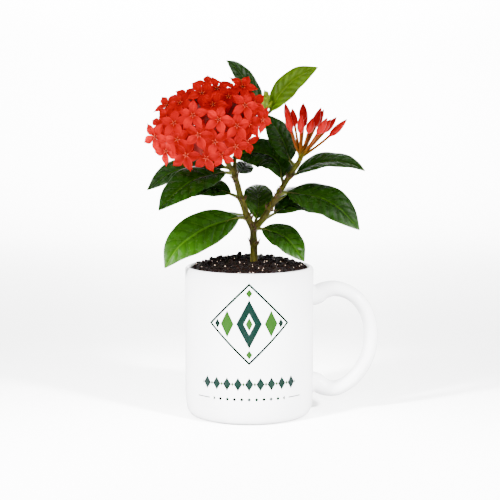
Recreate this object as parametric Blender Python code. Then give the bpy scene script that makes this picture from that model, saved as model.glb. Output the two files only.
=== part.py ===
"""Flowering ixora growing in a white mug.

Units are metres, +Z is up. The mug's base centre is the origin and its handle points to +X.
The viewer stands on the -Y side.
"""
import math
import random

import bmesh
import bpy
from mathutils import Matrix, Vector

MM = 0.001

# Mug
MUG_RADIUS = 0.041
MUG_HEIGHT = 0.095
MUG_WALL = 0.0034
MUG_FLOOR = 0.006
MUG_SIDES = 44
HANDLE_DEPTH = 0.0105
HANDLE_BAND = 0.0090

# Soil
SOIL_GAP = 0.0003
SOIL_RADIUS = MUG_RADIUS - MUG_WALL - SOIL_GAP
SOIL_LEVEL = 0.0942
SOIL_SIDES = 34
CRUMBS = 18

# Stem
TRUNK_X = 0.003
TRUNK_RADIUS = 0.0025
TRUNK_FOOT = 0.055
STEM_SIDES = 8

# Leaves
LEAF_THICKNESS = 0.0008
PETIOLE_RADIUS = 0.0009
STEM_CLEARANCE = 0.00035

# Flower head
FLORETS = 41
HEAD_CENTRE = Vector((-0.0252, -0.0200, 0.1855))
HEAD_RADII = Vector((0.0325, 0.0255, 0.0225))
HEAD_TILT = math.radians(-20)
HEAD_AXIS = Vector((-0.10, -0.72, 0.60)).normalized()
HEAD_SPREAD = math.radians(122)
HEAD_PHASE = 5.70
HEAD_FACING = Vector((-0.04, -1.05, 0.24))
HEAD_ROOT = Vector((-0.0178, -0.0090, 0.1715))
PETAL_LENGTH = 0.0104
PETAL_HALF_WIDTH = 0.0027
PETAL_THICKNESS = 0.0007

# Bud cluster
BUDS = 14
BUD_ROOT = Vector((0.0324, -0.0048, 0.1646))
BUD_AXIS = Vector((0.24, -0.16, 1.0)).normalized()
BUD_SPREAD = math.radians(47)

# Shoot tip
SHOOT_ROOT = Vector((0.0107, 0.0120, 0.1930))

GOLDEN_ANGLE = math.pi * (3 - math.sqrt(5))

# Centre lines of the woody parts in millimetres, with the radius at the start and at the end
BRANCHES = {
    "left": ([(2.5, 0, 119), (-1, -1, 126), (-5, -3, 138), (-9, -4, 152), (-14, -6.5, 162),
              (-17.9, -10.4, 171.0)], 2.3, 1.7),
    "right": ([(2.5, 0, 119), (8, -1, 124), (13, -2, 132), (19, -3, 142), (25, -4, 152), (29.2, -4.2, 158.4),
               (31.9, -4.8, 162.4)], 2.2, 1.7),
    "back": ([(-9, -4, 152), (-9.3, -1, 158), (-8.5, 5, 166), (-4, 10, 176), (4, 12, 185), (10.2, 12, 191.4)],
             1.5, 1.1),
}

# Nodes where leaves leave the wood: centre in millimetres and the wood's radius there
NODES = [((-1, -1, 126), 2.2), ((-5, -3, 138), 2.1), ((-9, -4, 152), 2.0), ((13, -2, 132), 2.0),
         ((19, -3, 142), 1.9), ((25, -4, 152), 1.8), ((3, 0, 119), 2.5)]

# Leaves: points along the midrib in millimetres, from the middle of the branch to the tip,
# half width, the way the upper side looks, fold in degrees, material
LEAVES = {
    "leaf_low_left": (
        [(-1, -1, 126), (-7, -3, 126), (-25, -9, 121), (-36, -13, 115), (-45, -18, 108),
         (-52.5, -22.5, 96.5)],
        13.0, (0.14, -0.80, 0.65), 12, "leaf_green"),
    "leaf_low_right": (
        [(3, 0, 119), (8, -3, 119), (19, -7, 116), (26, -10, 111), (34.5, -14, 99.5)],
        10.5, (0.25, -0.68, 0.66), 12, "leaf_green"),
    "leaf_mid_left_front": (
        [(-10, -4, 154), (-15, -7, 155), (-32, -16, 152), (-42, -22, 146), (-49, -26, 140),
         (-55.5, -30, 133)],
        12.0, (-0.10, -0.64, 0.76), 14, "leaf_green"),
    "leaf_mid_left_back": (
        [(-11, -4, 157), (-16, 0, 158), (-31, 2, 158), (-50, 1, 154), (-64.5, -2, 143.5)],
        11.5, (-0.10, -0.55, 0.83), 14, "leaf_green"),
    "leaf_mid_left_under": (
        [(-5, -3, 138), (-12, 1, 141), (-25, 5, 145), (-38, 7, 144), (-52, 5, 135)],
        10.5, (-0.10, -0.55, 0.83), 14, "leaf_green"),
    "leaf_centre": (
        [(3.5, 0, 121), (4.5, 2.5, 125), (5.4, 4.5, 129), (6, 7, 133), (5.8, 13, 138), (5.4, 20, 142.5),
         (4.5, 27, 145)],
        9.5, (0.05, -0.80, 0.60), 26, "leaf_green"),
    "leaf_mid_right": (
        [(19, -3, 142), (24, -5, 142), (36, -9, 141), (45, -13, 139), (56, -17, 133), (68.5, -21, 120)],
        13.0, (0.15, -0.70, 0.70), 12, "leaf_green"),
    "leaf_mid_right_back": (
        [(8, -1, 124), (16, 5, 128), (27, 9, 134), (39, 12, 133), (53, 12, 126)],
        10.0, (0.05, -0.50, 0.87), 14, "leaf_green"),
    "leaf_top_right": (
        [(25, -4, 152), (30, -2, 154), (42, -3, 160), (55, -5, 161.5), (65, -7, 159.5), (72.5, -9, 156)],
        10.0, (0.05, -0.44, 0.90), 20, "leaf_green"),
    "leaf_centre_back": (
        [(22, -3.5, 147), (20.5, 0, 151), (19, 5, 159), (12, 11, 165), (0, 15, 166.5), (-11, 18, 163)],
        11.5, (0.12, -0.84, 0.54), 14, "leaf_green"),
    "leaf_behind_buds": (
        [(29, -4, 158.5), (26, 2, 162), (22, 8, 173), (17, 12, 182), (10, 15, 191)],
        9.0, (0.30, -0.85, 0.40), 10, "leaf_green"),
    "leaf_behind_head": (
        [(-9.2, -1.5, 156), (-7.5, 4, 154.5), (-5, 11, 155.5), (-2, 19, 158), (0, 28, 159)],
        6.0, (0.25, -0.60, 0.78), 14, "leaf_green"),
    "leaf_top_left": (
        [(8, 12, 189), (6.5, 16, 195), (2, 18.5, 206), (-6.5, 18, 218), (-14.5, 15, 225)],
        8.6, (0.70, -0.66, 0.28), 12, "young_leaf_green"),
    "leaf_top_right_up": (
        [(10, 12, 190), (13.5, 13.5, 193), (19, 13, 202.5), (29, 11, 213), (43.3, 6, 220.5)],
        9.0, (-0.45, -0.78, 0.43), 12, "young_leaf_green"),
    "leaf_back_low": (
        [(-1, -1, 127), (-3, 6, 127), (-14, 20, 126), (-27, 36, 120), (-38, 50, 109)],
        11.0, (0.05, 0.20, 0.97), 14, "leaf_green"),
    "leaf_back_right": (
        [(14, -2, 134), (20, 5.5, 138), (30, 20, 143), (39, 37, 141), (46, 53, 132)],
        11.0, (0.0, 0.30, 0.95), 14, "leaf_green"),
    "leaf_back_left": (
        [(-14, -6, 161), (-15, 1, 164), (-20, 18, 169), (-27, 36, 166), (-33, 52, 156)],
        11.0, (0.0, 0.30, 0.95), 14, "leaf_green"),
    "leaf_back_top": (
        [(-3, 11.3, 178), (-5, 17, 182), (-12, 32, 188), (-18, 48, 186), (-22, 62, 176)],
        10.5, (0.0, 0.35, 0.93), 14, "leaf_green"),
}
LEAF_STATIONS = [0.0, 0.07, 0.17, 0.29, 0.42, 0.55, 0.68, 0.80, 0.91, 1.0]
LEAF_OUTLINE = [0.10, 0.42, 0.72, 0.92, 1.0, 0.97, 0.84, 0.61, 0.31, 0.03]
LEAF_ACROSS = (-1.0, -0.5, 0.0, 0.5, 1.0)

COLOURS = {
    "mug_glaze": ((0.86, 0.86, 0.85), 0.15),
    "soil": ((0.030, 0.017, 0.010), 0.95),
    "stem_bark": ((0.115, 0.095, 0.035), 0.70),
    "leaf_green": ((0.030, 0.115, 0.012), 0.35),
    "young_leaf_green": ((0.085, 0.220, 0.022), 0.35),
    "petal_red": ((0.800, 0.030, 0.018), 0.45),
    "bud_red": ((0.620, 0.016, 0.012), 0.40),
    "shoot_green": ((0.300, 0.400, 0.040), 0.45),
}


def clear_scene():
    for item in list(bpy.data.objects):
        bpy.data.objects.remove(item, do_unlink=True)


def material(name):
    found = bpy.data.materials.get(name)
    if found:
        return found
    colour, roughness = COLOURS[name]
    made = bpy.data.materials.new(name)
    made.use_nodes = True
    shader = made.node_tree.nodes["Principled BSDF"]
    shader.inputs["Base Color"].default_value = (*colour, 1.0)
    shader.inputs["Roughness"].default_value = roughness
    return made


def add_object(name, verts, faces, material_name, smooth=True):
    mesh = bpy.data.meshes.new(name)
    mesh.from_pydata([tuple(v) for v in verts], [], faces)
    mesh.materials.append(material(material_name))
    for face in mesh.polygons:
        face.use_smooth = smooth
    made = bpy.data.objects.new(name, mesh)
    bpy.context.scene.collection.objects.link(made)
    return made


def shade_by_angle(item, degrees=35):
    """Keeps edges sharper than the angle and shades the rest smooth."""
    for face in item.data.polygons:
        face.use_smooth = True
    work = bmesh.new()
    work.from_mesh(item.data)
    for edge in work.edges:
        if len(edge.link_faces) == 2:
            edge.smooth = edge.calc_face_angle(0.0) < math.radians(degrees)
    work.to_mesh(item.data)
    work.free()


def apply_boolean(target, others, operation, solver):
    """Applies one Boolean of target with every object in others, which are then removed."""
    group = bpy.data.collections.new("operands")
    bpy.context.scene.collection.children.link(group)
    for item in others:
        group.objects.link(item)
    step = target.modifiers.new("combine", "BOOLEAN")
    step.operation = operation
    step.solver = solver
    step.operand_type = "COLLECTION"
    step.collection = group
    bpy.context.view_layer.update()
    graph = bpy.context.evaluated_depsgraph_get()
    result = bpy.data.meshes.new_from_object(target.evaluated_get(graph))
    target.modifiers.clear()
    old = target.data
    target.data = result
    result.name = old.name
    bpy.data.meshes.remove(old)
    for item in others:
        bpy.data.objects.remove(item, do_unlink=True)
    bpy.data.collections.remove(group)
    return target


def spline(points, count):
    """Evenly spaced points on a smooth curve through the given ones."""
    points = [Vector(p) for p in points]
    ends = [points[0] * 2 - points[1]] + points + [points[-1] * 2 - points[-2]]
    fine = []
    for a, b, c, d in zip(ends, ends[1:], ends[2:], ends[3:]):
        for step in range(16):
            t = step / 16
            fine.append(0.5 * (2 * b + (c - a) * t + (2 * a - 5 * b + 4 * c - d) * t ** 2
                               + (3 * b - a - 3 * c + d) * t ** 3))
    fine.append(points[-1])
    lengths = [0.0]
    for a, b in zip(fine, fine[1:]):
        lengths.append(lengths[-1] + (b - a).length)
    result = []
    at = 0
    for step in range(count):
        goal = lengths[-1] * step / (count - 1)
        while at < len(lengths) - 2 and lengths[at + 1] < goal:
            at += 1
        share = (goal - lengths[at]) / (lengths[at + 1] - lengths[at])
        result.append(fine[at].lerp(fine[at + 1], min(max(share, 0.0), 1.0)))
    return result


def tangents(path):
    last = len(path) - 1
    return [(path[min(i + 1, last)] - path[max(i - 1, 0)]).normalized() for i in range(last + 1)]


def closed_loft(rings):
    """Vertices and faces of a closed solid through rings of equal size."""
    size = len(rings[0])
    verts = [v for ring in rings for v in ring]
    faces = [tuple(reversed(range(size)))]
    for row in range(len(rings) - 1):
        for i in range(size):
            j = (i + 1) % size
            a = row * size
            faces.append((a + i, a + j, a + size + j, a + size + i))
    faces.append(tuple((len(rings) - 1) * size + i for i in range(size)))
    return verts, faces


def tube(path, radii, sides):
    """Rings of a round tube along a path, without twist."""
    rings = []
    across = None
    for point, along, radius in zip(path, tangents(path), radii):
        if across is None:
            across = along.orthogonal().normalized()
        across = (across - along * across.dot(along)).normalized()
        other = along.cross(across)
        rings.append([point + radius * (math.cos(a) * across + math.sin(a) * other)
                      for a in (2 * math.pi * i / sides for i in range(sides))])
    return closed_loft(rings)


def turned(profile, sides, centre=Vector((0, 0, 0))):
    """A solid of revolution from (radius, height) pairs, whose first and last lie on the axis."""
    verts = [centre + Vector((0, 0, profile[0][1]))]
    for radius, height in profile[1:-1]:
        for i in range(sides):
            a = 2 * math.pi * i / sides
            verts.append(centre + Vector((radius * math.cos(a), radius * math.sin(a), height)))
    verts.append(centre + Vector((0, 0, profile[-1][1])))
    rows = len(profile) - 2
    faces = []
    for i in range(sides):
        j = (i + 1) % sides
        faces.append((0, 1 + j, 1 + i))
        for row in range(rows - 1):
            a = 1 + row * sides
            faces.append((a + i, a + j, a + sides + j, a + sides + i))
        a = 1 + (rows - 1) * sides
        faces.append((a + i, a + j, len(verts) - 1))
    return verts, faces


def build_mug():
    r, h, inner = MUG_RADIUS, MUG_HEIGHT, MUG_RADIUS - MUG_WALL
    profile = [
        (0, 0), (0.0300, 0), (0.0306, 0.0010), (0.0326, 0.0010), (0.0332, 0), (0.0352, 0),
        (0.0374, 0.0006), (0.0390, 0.0022), (0.0399, 0.0046), (r - 0.0004, 0.0090), (r, 0.0150),
        (r, h - 0.0200), (r, h - 0.0024), (r - 0.0005, h - 0.0008), (r - 0.0018, h),
        (inner + 0.0006, h - 0.0005),
        (inner, h - 0.0020), (inner, 0.0120), (inner - 0.0008, 0.0085), (inner - 0.0028, MUG_FLOOR + 0.0006),
        (inner - 0.0060, MUG_FLOOR), (0, MUG_FLOOR),
    ]
    body = add_object("mug", *turned(profile, MUG_SIDES), "mug_glaze")
    apply_boolean(body, [build_handle()], "UNION", "EXACT")
    shade_by_angle(body)


def build_handle():
    """The loop, whose two ends sink into the wall but not through it."""
    sunk = (MUG_RADIUS - 0.0016) / MM
    middle = [(sunk, 76.4), (43.5, 76.8), (48.0, 79.2), (55.0, 80.4), (64.0, 77.6), (71.5, 71.0),
              (76.2, 61.5), (77.9, 50.0), (76.2, 38.0), (71.0, 27.6), (63.5, 19.6), (55.0, 15.6),
              (48.0, 16.6), (43.5, 19.2), (sunk, 19.6)]
    path = spline([Vector((x, 0, z)) * MM for x, z in middle], 22)
    rings = []
    for i, (point, along) in enumerate(zip(path, tangents(path))):
        end = abs(2 * i / (len(path) - 1) - 1) ** 6
        outward = Vector((0, 1, 0)).cross(along).normalized()
        depth = HANDLE_DEPTH * (0.5 + 0.16 * end)
        band = HANDLE_BAND * (0.5 + 0.30 * end)
        ring = []
        for k in range(10):
            a = 2 * math.pi * k / 10
            ring.append(point + outward * band * math.cos(a) + Vector((0, 1, 0)) * depth * math.sin(a))
        rings.append(ring)
    return add_object("handle", *closed_loft(rings), "mug_glaze")


def soil_height(x, y):
    """Gently heaped ground with lumps; x and y in metres."""
    away = math.hypot(x, y) / SOIL_RADIUS
    lumps = (math.sin(410 * x + 1.3) * math.sin(370 * y + 0.4) + 0.6 * math.sin(830 * x + 700 * y)
             + 0.5 * math.sin(900 * x - 760 * y + 2.0))
    back = 0.0034 * max(y / SOIL_RADIUS + 0.2, 0.0) * (1 - away ** 6)
    return SOIL_LEVEL + 0.0032 * (1 - away ** 2) + back + 0.00045 * lumps * (1 - 0.6 * away ** 4)


def build_soil():
    rings = [0.20, 0.40, 0.58, 0.75, 0.89, 1.0]
    verts = [Vector((0, 0, soil_height(0, 0)))]
    for share in rings:
        for i in range(SOIL_SIDES):
            a = 2 * math.pi * (i + 0.5 * (rings.index(share) % 2)) / SOIL_SIDES
            x, y = SOIL_RADIUS * share * math.cos(a), SOIL_RADIUS * share * math.sin(a)
            drop = 0.0008 if share == 1.0 else 0.0
            verts.append(Vector((x, y, soil_height(x, y) - drop)))
    for radius, height in ((SOIL_RADIUS, 0.0128), (SOIL_RADIUS - 0.0014, 0.0088),
                           (SOIL_RADIUS - 0.0064, MUG_FLOOR + SOIL_GAP)):
        for i in range(SOIL_SIDES):
            a = 2 * math.pi * (i + 0.5) / SOIL_SIDES
            verts.append(Vector((radius * math.cos(a), radius * math.sin(a), height)))
    verts.append(Vector((0, 0, MUG_FLOOR + SOIL_GAP)))
    faces = []
    rows = len(rings) + 3
    for i in range(SOIL_SIDES):
        j = (i + 1) % SOIL_SIDES
        faces.append((0, 1 + i, 1 + j))
        for row in range(rows - 1):
            a, b = 1 + row * SOIL_SIDES, 1 + (row + 1) * SOIL_SIDES
            faces.append((a + i, b + i, b + j, a + j))
        a = 1 + (rows - 1) * SOIL_SIDES
        faces.append((a + i, len(verts) - 1, a + j))
    soil = add_object("soil", verts, faces, "soil", smooth=False)
    apply_boolean(soil, build_crumbs(), "UNION", "MANIFOLD")
    apply_boolean(soil, [build_stem_hole()], "DIFFERENCE", "MANIFOLD")
    shade_by_angle(soil, 25)


def build_crumbs():
    """Pebble-like crumbs half sunk in the surface, clear of the trunk and of the mug."""
    draw = random.Random(7)
    made = []
    while len(made) < CRUMBS:
        away = SOIL_RADIUS * math.sqrt(draw.uniform(0.06, 0.74))
        a = draw.uniform(0, 2 * math.pi)
        x, y = away * math.cos(a), away * math.sin(a)
        if math.hypot(x - TRUNK_X, y) < 0.0065:
            continue
        size = draw.uniform(0.0011, 0.0019)
        work = bmesh.new()
        bmesh.ops.create_icosphere(work, subdivisions=1, radius=size)
        for vert in work.verts:
            vert.co *= draw.uniform(0.8, 1.2)
            vert.co += Vector((x, y, soil_height(x, y) + 0.15 * size))
        mesh = bpy.data.meshes.new("crumb")
        work.to_mesh(mesh)
        work.free()
        crumb = bpy.data.objects.new("crumb", mesh)
        crumb.data.materials.append(material("soil"))
        made.append(crumb)
    return made


def build_stem_hole():
    foot = TRUNK_FOOT - SOIL_GAP
    radius = TRUNK_RADIUS + 0.0002 + SOIL_GAP
    profile = [(0, foot), (radius, foot), (radius, MUG_HEIGHT + 0.010), (0, MUG_HEIGHT + 0.010)]
    verts, faces = turned(profile, 20, Vector((TRUNK_X, 0, 0)))
    return add_object("hole", verts, faces, "soil")


def build_stem(name="stem", extra=0.0):
    """The wood as one body; extra thickens it for cutting room out of the leaves."""
    x = TRUNK_X / MM
    path = [Vector(p) * MM for p in ((x, 0, TRUNK_FOOT / MM), (x, 0, 75), (x, 0, 97), (x - 0.1, 0, 108),
                                     (x - 0.3, 0, 115), (x - 0.5, 0, 121.5))]
    radii = [extra + TRUNK_RADIUS * share for share in (1.0, 1.0, 1.0, 0.96, 0.98, 0.86)]
    stem = add_object(name, *tube(path, radii, STEM_SIDES), "stem_bark")
    parts = []
    for branch, (points, start, end) in BRANCHES.items():
        line = spline([Vector(p) * MM for p in points], 2 * len(points) - 1)
        sizes = [extra + MM * (start + (end - start) * i / (len(line) - 1)) for i in range(len(line))]
        line[-1] += extra * tangents(line)[-1]
        parts.append(add_object(branch, *tube(line, sizes, STEM_SIDES), "stem_bark"))
    for centre, radius in NODES:
        parts.append(build_node_collar(Vector(centre) * MM, radius * MM * 1.22 + extra))
    apply_boolean(stem, parts, "UNION", "MANIFOLD")
    shade_by_angle(stem, 50)
    return stem


def build_node_collar(centre, radius):
    """The swollen ring where leaves join the wood."""
    work = bmesh.new()
    bmesh.ops.create_icosphere(work, subdivisions=1, radius=radius)
    flat = Matrix.Translation(centre) @ Matrix.Diagonal((1, 1, 0.75, 1))
    bmesh.ops.transform(work, matrix=flat, verts=work.verts)
    mesh = bpy.data.meshes.new("collar")
    work.to_mesh(mesh)
    work.free()
    collar = bpy.data.objects.new("collar", mesh)
    collar.data.materials.append(material("stem_bark"))
    return collar


def leaf_sections(points, half_width, faces_to, fold, seed):
    """Ten-point rings along a leaf: five over the upper side and five under the lower."""
    draw = random.Random(seed)
    phase = [draw.uniform(0, 2 * math.pi) for _ in range(4)]
    points = [Vector(p) * MM for p in points]
    blade = spline(points, 120)
    base = min(range(len(blade)), key=lambda i: (blade[i] - points[1]).length)
    petiole = [points[0], points[0].lerp(points[1], 0.6)]
    blade = blade[base:]
    ways = tangents(blade)
    looks = Vector(faces_to).normalized()
    rings = []
    for point in petiole:
        along = (points[1] - points[0]).normalized()
        rings.append(petiole_ring(point, along, looks))
    width = half_width * MM
    for share, outline in zip(LEAF_STATIONS, LEAF_OUTLINE):
        index = round(share * (len(blade) - 1))
        centre, along = blade[index], ways[index]
        normal = (looks - along * looks.dot(along)).normalized()
        side = along.cross(normal)
        reach = max(width * outline, PETIOLE_RADIUS if share == 0 else 0.00035)
        upper, lower = [], []
        for across in LEAF_ACROSS:
            rise = abs(across) * math.tan(math.radians(fold)) - 0.20 * across ** 2
            wave = 0.045 * across ** 2 * outline * math.sin(17 * share + phase[0 if across < 0 else 1])
            point = centre + side * across * reach + normal * reach * (rise + wave)
            thick = LEAF_THICKNESS * (1.0 if across == 0 else 0.5 * (1 + 0.76))
            thick = max(thick, 1.5 * PETIOLE_RADIUS * (1 - 6 * share) * (1 - 0.6 * abs(across)))
            upper.append(point + normal * thick / 2)
            lower.append(point - normal * thick / 2)
        rings.append(upper + lower[::-1])
    return rings


def petiole_ring(point, along, looks):
    normal = (looks - along * looks.dot(along)).normalized()
    side = along.cross(normal)
    upper, lower = [], []
    for across in LEAF_ACROSS:
        angle = math.pi * (0.5 - 0.44 * across)
        upper.append(point + PETIOLE_RADIUS * (side * math.cos(angle) + normal * math.sin(angle)))
        lower.append(point + PETIOLE_RADIUS * (side * math.cos(angle) - normal * math.sin(angle)))
    return upper + lower[::-1]


def leaf_faces(rings):
    """Triangles of a leaf, split alike above and below so that the blade keeps its thickness."""
    size = len(rings[0])
    half = size // 2
    verts = [v for ring in rings for v in ring]
    faces = []
    for row in range(len(rings) - 1):
        a = row * size
        for i in range(size):
            j = (i + 1) % size
            quad = (a + i, a + j, a + size + j, a + size + i)
            if i < half:
                faces += [(quad[0], quad[1], quad[2]), (quad[0], quad[2], quad[3])]
            else:
                faces += [(quad[0], quad[1], quad[3]), (quad[1], quad[2], quad[3])]
    for row, flip in ((0, True), (len(rings) - 1, False)):
        a = row * size
        for i in range(half - 1):
            quad = (a + i, a + i + 1, a + size - 2 - i, a + size - 1 - i)
            quad = quad[::-1] if flip else quad
            faces.append(quad)
    return verts, faces


def build_leaves():
    for seed, (name, (points, half_width, looks, fold, colour)) in enumerate(LEAVES.items()):
        rings = leaf_sections(points, half_width, looks, fold, seed)
        leaf = add_object(name, *leaf_faces(rings), colour)
        outward_normals(leaf)
        apply_boolean(leaf, [build_stem("room", STEM_CLEARANCE)], "DIFFERENCE", "MANIFOLD")
        keep_largest(leaf)
        shade_by_angle(leaf, 60)


def keep_largest(item):
    """Removes chips that a cut has left beside the main piece."""
    work = bmesh.new()
    work.from_mesh(item.data)
    left = set(work.verts)
    pieces = []
    while left:
        piece, edge_of = set(), [left.pop()]
        while edge_of:
            vert = edge_of.pop()
            piece.add(vert)
            for edge in vert.link_edges:
                other = edge.other_vert(vert)
                if other in left:
                    left.remove(other)
                    edge_of.append(other)
        pieces.append(piece)
    pieces.sort(key=len)
    for piece in pieces[:-1]:
        bmesh.ops.delete(work, geom=list(piece), context="VERTS")
    work.to_mesh(item.data)
    work.free()


def outward_normals(item):
    work = bmesh.new()
    work.from_mesh(item.data)
    bmesh.ops.recalc_face_normals(work, faces=work.faces)
    if work.calc_volume(signed=True) < 0:
        bmesh.ops.reverse_faces(work, faces=work.faces)
    work.to_mesh(item.data)
    work.free()


def cap_directions(count, axis, spread, phase=0.0):
    """Directions spread evenly over a cap by the golden angle."""
    turn = Vector((0, 0, 1)).rotation_difference(axis)
    for k in range(count):
        up = 1 - (1 - math.cos(spread)) * (k + 0.5) / count
        flat = math.sqrt(1 - up * up)
        a = k * GOLDEN_ANGLE + phase
        yield turn @ Vector((flat * math.cos(a), flat * math.sin(a), up))


def build_flower_head():
    draw = random.Random(40)
    leaning = Matrix.Rotation(HEAD_TILT, 3, "Y")
    parts = []
    for k, way in enumerate(cap_directions(FLORETS, HEAD_AXIS, HEAD_SPREAD, HEAD_PHASE)):
        layer = 1 + 0.08 * ((k % 3) - 1) + draw.uniform(-0.01, 0.01)
        way = leaning.inverted() @ way
        place = HEAD_CENTRE + leaning @ Vector([w * r * layer for w, r in zip(way, HEAD_RADII)])
        looks = (leaning @ Vector([w / r for w, r in zip(way, HEAD_RADII)])).normalized()
        nod = Vector([draw.uniform(-0.25, 0.25) for _ in range(3)])
        looks = (looks + HEAD_FACING + nod).normalized()
        parts += build_floret(place, looks, draw)
    head = build_core()
    apply_boolean(head, parts, "UNION", "MANIFOLD")
    shade_by_angle(head, 40)


def build_core():
    """The inner ball where the tubes meet, standing on the branch end."""
    work = bmesh.new()
    bmesh.ops.create_icosphere(work, subdivisions=2, radius=1.0)
    middle = HEAD_ROOT.lerp(HEAD_CENTRE, 0.48)
    for vert in work.verts:
        vert.co = middle + Vector([v * r * 0.35 for v, r in zip(vert.co, HEAD_RADII)])
    mesh = bpy.data.meshes.new("flower_head")
    work.to_mesh(mesh)
    work.free()
    mesh.materials.append(material("petal_red"))
    core = bpy.data.objects.new("flower_head", mesh)
    bpy.context.scene.collection.objects.link(core)
    return core


def build_floret(place, looks, draw):
    """One floret: a star of five petals and its thin tube."""
    across = looks.orthogonal().normalized()
    across.rotate(Matrix.Rotation(draw.uniform(0, 2 * math.pi), 3, looks))
    other = looks.cross(across)
    upper = [place + looks * 0.0003]
    for petal in range(5):
        a = 2 * math.pi * petal / 5
        out = across * math.cos(a) + other * math.sin(a)
        side = other * math.cos(a) - across * math.sin(a)
        length = PETAL_LENGTH * draw.uniform(0.92, 1.06)
        droop = draw.uniform(-0.0004, 0.0018)
        half = math.radians(36)
        valley = (out * math.cos(half) - side * math.sin(half)) * 0.0017
        upper.append(place + valley)
        upper.append(place + out * length * 0.55 - side * PETAL_HALF_WIDTH + looks * 0.0002)
        upper.append(place + out * length - looks * droop)
        upper.append(place + out * length * 0.55 + side * PETAL_HALF_WIDTH + looks * 0.0002)
    count = len(upper)
    verts = upper + [v - looks * PETAL_THICKNESS for v in upper]
    faces = []
    for i in range(1, count):
        j = i + 1 if i + 1 < count else 1
        faces += [(0, i, j), (count, count + j, count + i), (i, count + i, count + j, j)]
    star = bpy.data.meshes.new("floret")
    star.from_pydata([tuple(v) for v in verts], [], faces)
    star.materials.append(material("petal_red"))
    foot = HEAD_ROOT.lerp(HEAD_CENTRE, 0.40)
    tube_verts, tube_faces = tube([place - looks * 0.0002, foot], [0.0009, 0.0007], 4)
    pipe = bpy.data.meshes.new("corolla_tube")
    pipe.from_pydata([tuple(v) for v in tube_verts], [], tube_faces)
    pipe.materials.append(material("petal_red"))
    made = [bpy.data.objects.new("floret", star), bpy.data.objects.new("corolla_tube", pipe)]
    for item in made:
        outward_normals(item)
    return made


def build_bud_cluster():
    """Closed buds on thin tubes that fan out from the branch end."""
    draw = random.Random(5)
    work = bmesh.new()
    bmesh.ops.create_icosphere(work, subdivisions=1, radius=0.0019)
    bmesh.ops.translate(work, vec=BUD_ROOT, verts=work.verts)
    mesh = bpy.data.meshes.new("bud_cluster")
    work.to_mesh(mesh)
    work.free()
    mesh.materials.append(material("bud_red"))
    cluster = bpy.data.objects.new("bud_cluster", mesh)
    bpy.context.scene.collection.objects.link(cluster)
    parts = []
    for k, way in enumerate(cap_directions(BUDS, BUD_AXIS, BUD_SPREAD)):
        outer = k / BUDS
        reach = 0.0212 * (1 - 0.12 * outer) * draw.uniform(0.82, 1.08)
        length = draw.uniform(0.0094, 0.0110)
        wide = draw.uniform(0.0019, 0.0022)
        lift = BUD_AXIS * 0.0042 * outer
        stations = [(0.0, 0.0007), (reach, 0.00075), (reach + 0.17 * length, wide * 0.86),
                    (reach + 0.45 * length, wide), (reach + 0.78 * length, wide * 0.60),
                    (reach + length, 0.0003)]
        path = [BUD_ROOT + way * along + lift * (along / reach) ** 2 for along, _ in stations]
        verts, faces = tube(path, [radius for _, radius in stations], 6)
        shape = bpy.data.meshes.new("bud")
        shape.from_pydata([tuple(v) for v in verts], [], faces)
        shape.materials.append(material("bud_red"))
        bud = bpy.data.objects.new("bud", shape)
        outward_normals(bud)
        parts.append(bud)
    apply_boolean(cluster, parts, "UNION", "MANIFOLD")
    shade_by_angle(cluster, 50)


def build_shoot_tip():
    """A tuft of small pointed scales around a short axis."""
    draw = random.Random(11)
    axis = tube([SHOOT_ROOT, SHOOT_ROOT + Vector((0, 0, 0.009))], [0.0013, 0.0008], 8)
    tuft = add_object("shoot_tip", *axis, "shoot_green")
    parts = []
    for k in range(11):
        share = k / 10
        a = k * GOLDEN_ANGLE
        lean = 0.75 - 0.65 * share
        way = Vector((math.cos(a) * lean, math.sin(a) * lean, 1)).normalized()
        root = SHOOT_ROOT + Vector((0, 0, 0.0010 + 0.0070 * share))
        length = draw.uniform(0.0055, 0.0075) * (1 - 0.15 * share)
        path = [root, root + way * length * 0.45, root + way * length * 0.75, root + way * length]
        verts, faces = tube(path, [0.0008, 0.0013, 0.0009, 0.0003], 5)
        shape = bpy.data.meshes.new("scale")
        shape.from_pydata([tuple(v) for v in verts], [], faces)
        shape.materials.append(material("shoot_green"))
        scale = bpy.data.objects.new("scale", shape)
        outward_normals(scale)
        parts.append(scale)
    outward_normals(tuft)
    apply_boolean(tuft, parts, "UNION", "MANIFOLD")
    shade_by_angle(tuft, 50)


def main():
    clear_scene()
    build_mug()
    build_soil()
    build_stem()
    build_leaves()
    build_flower_head()
    build_bud_cluster()
    build_shoot_tip()


main()
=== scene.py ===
"""Looks of the flowering ixora in its white mug, built round the fixed CAD frame. Units are metres."""
import math
import random
from functools import partialmethod

import bmesh
import bpy
from mathutils import Matrix, Vector, noise


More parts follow.
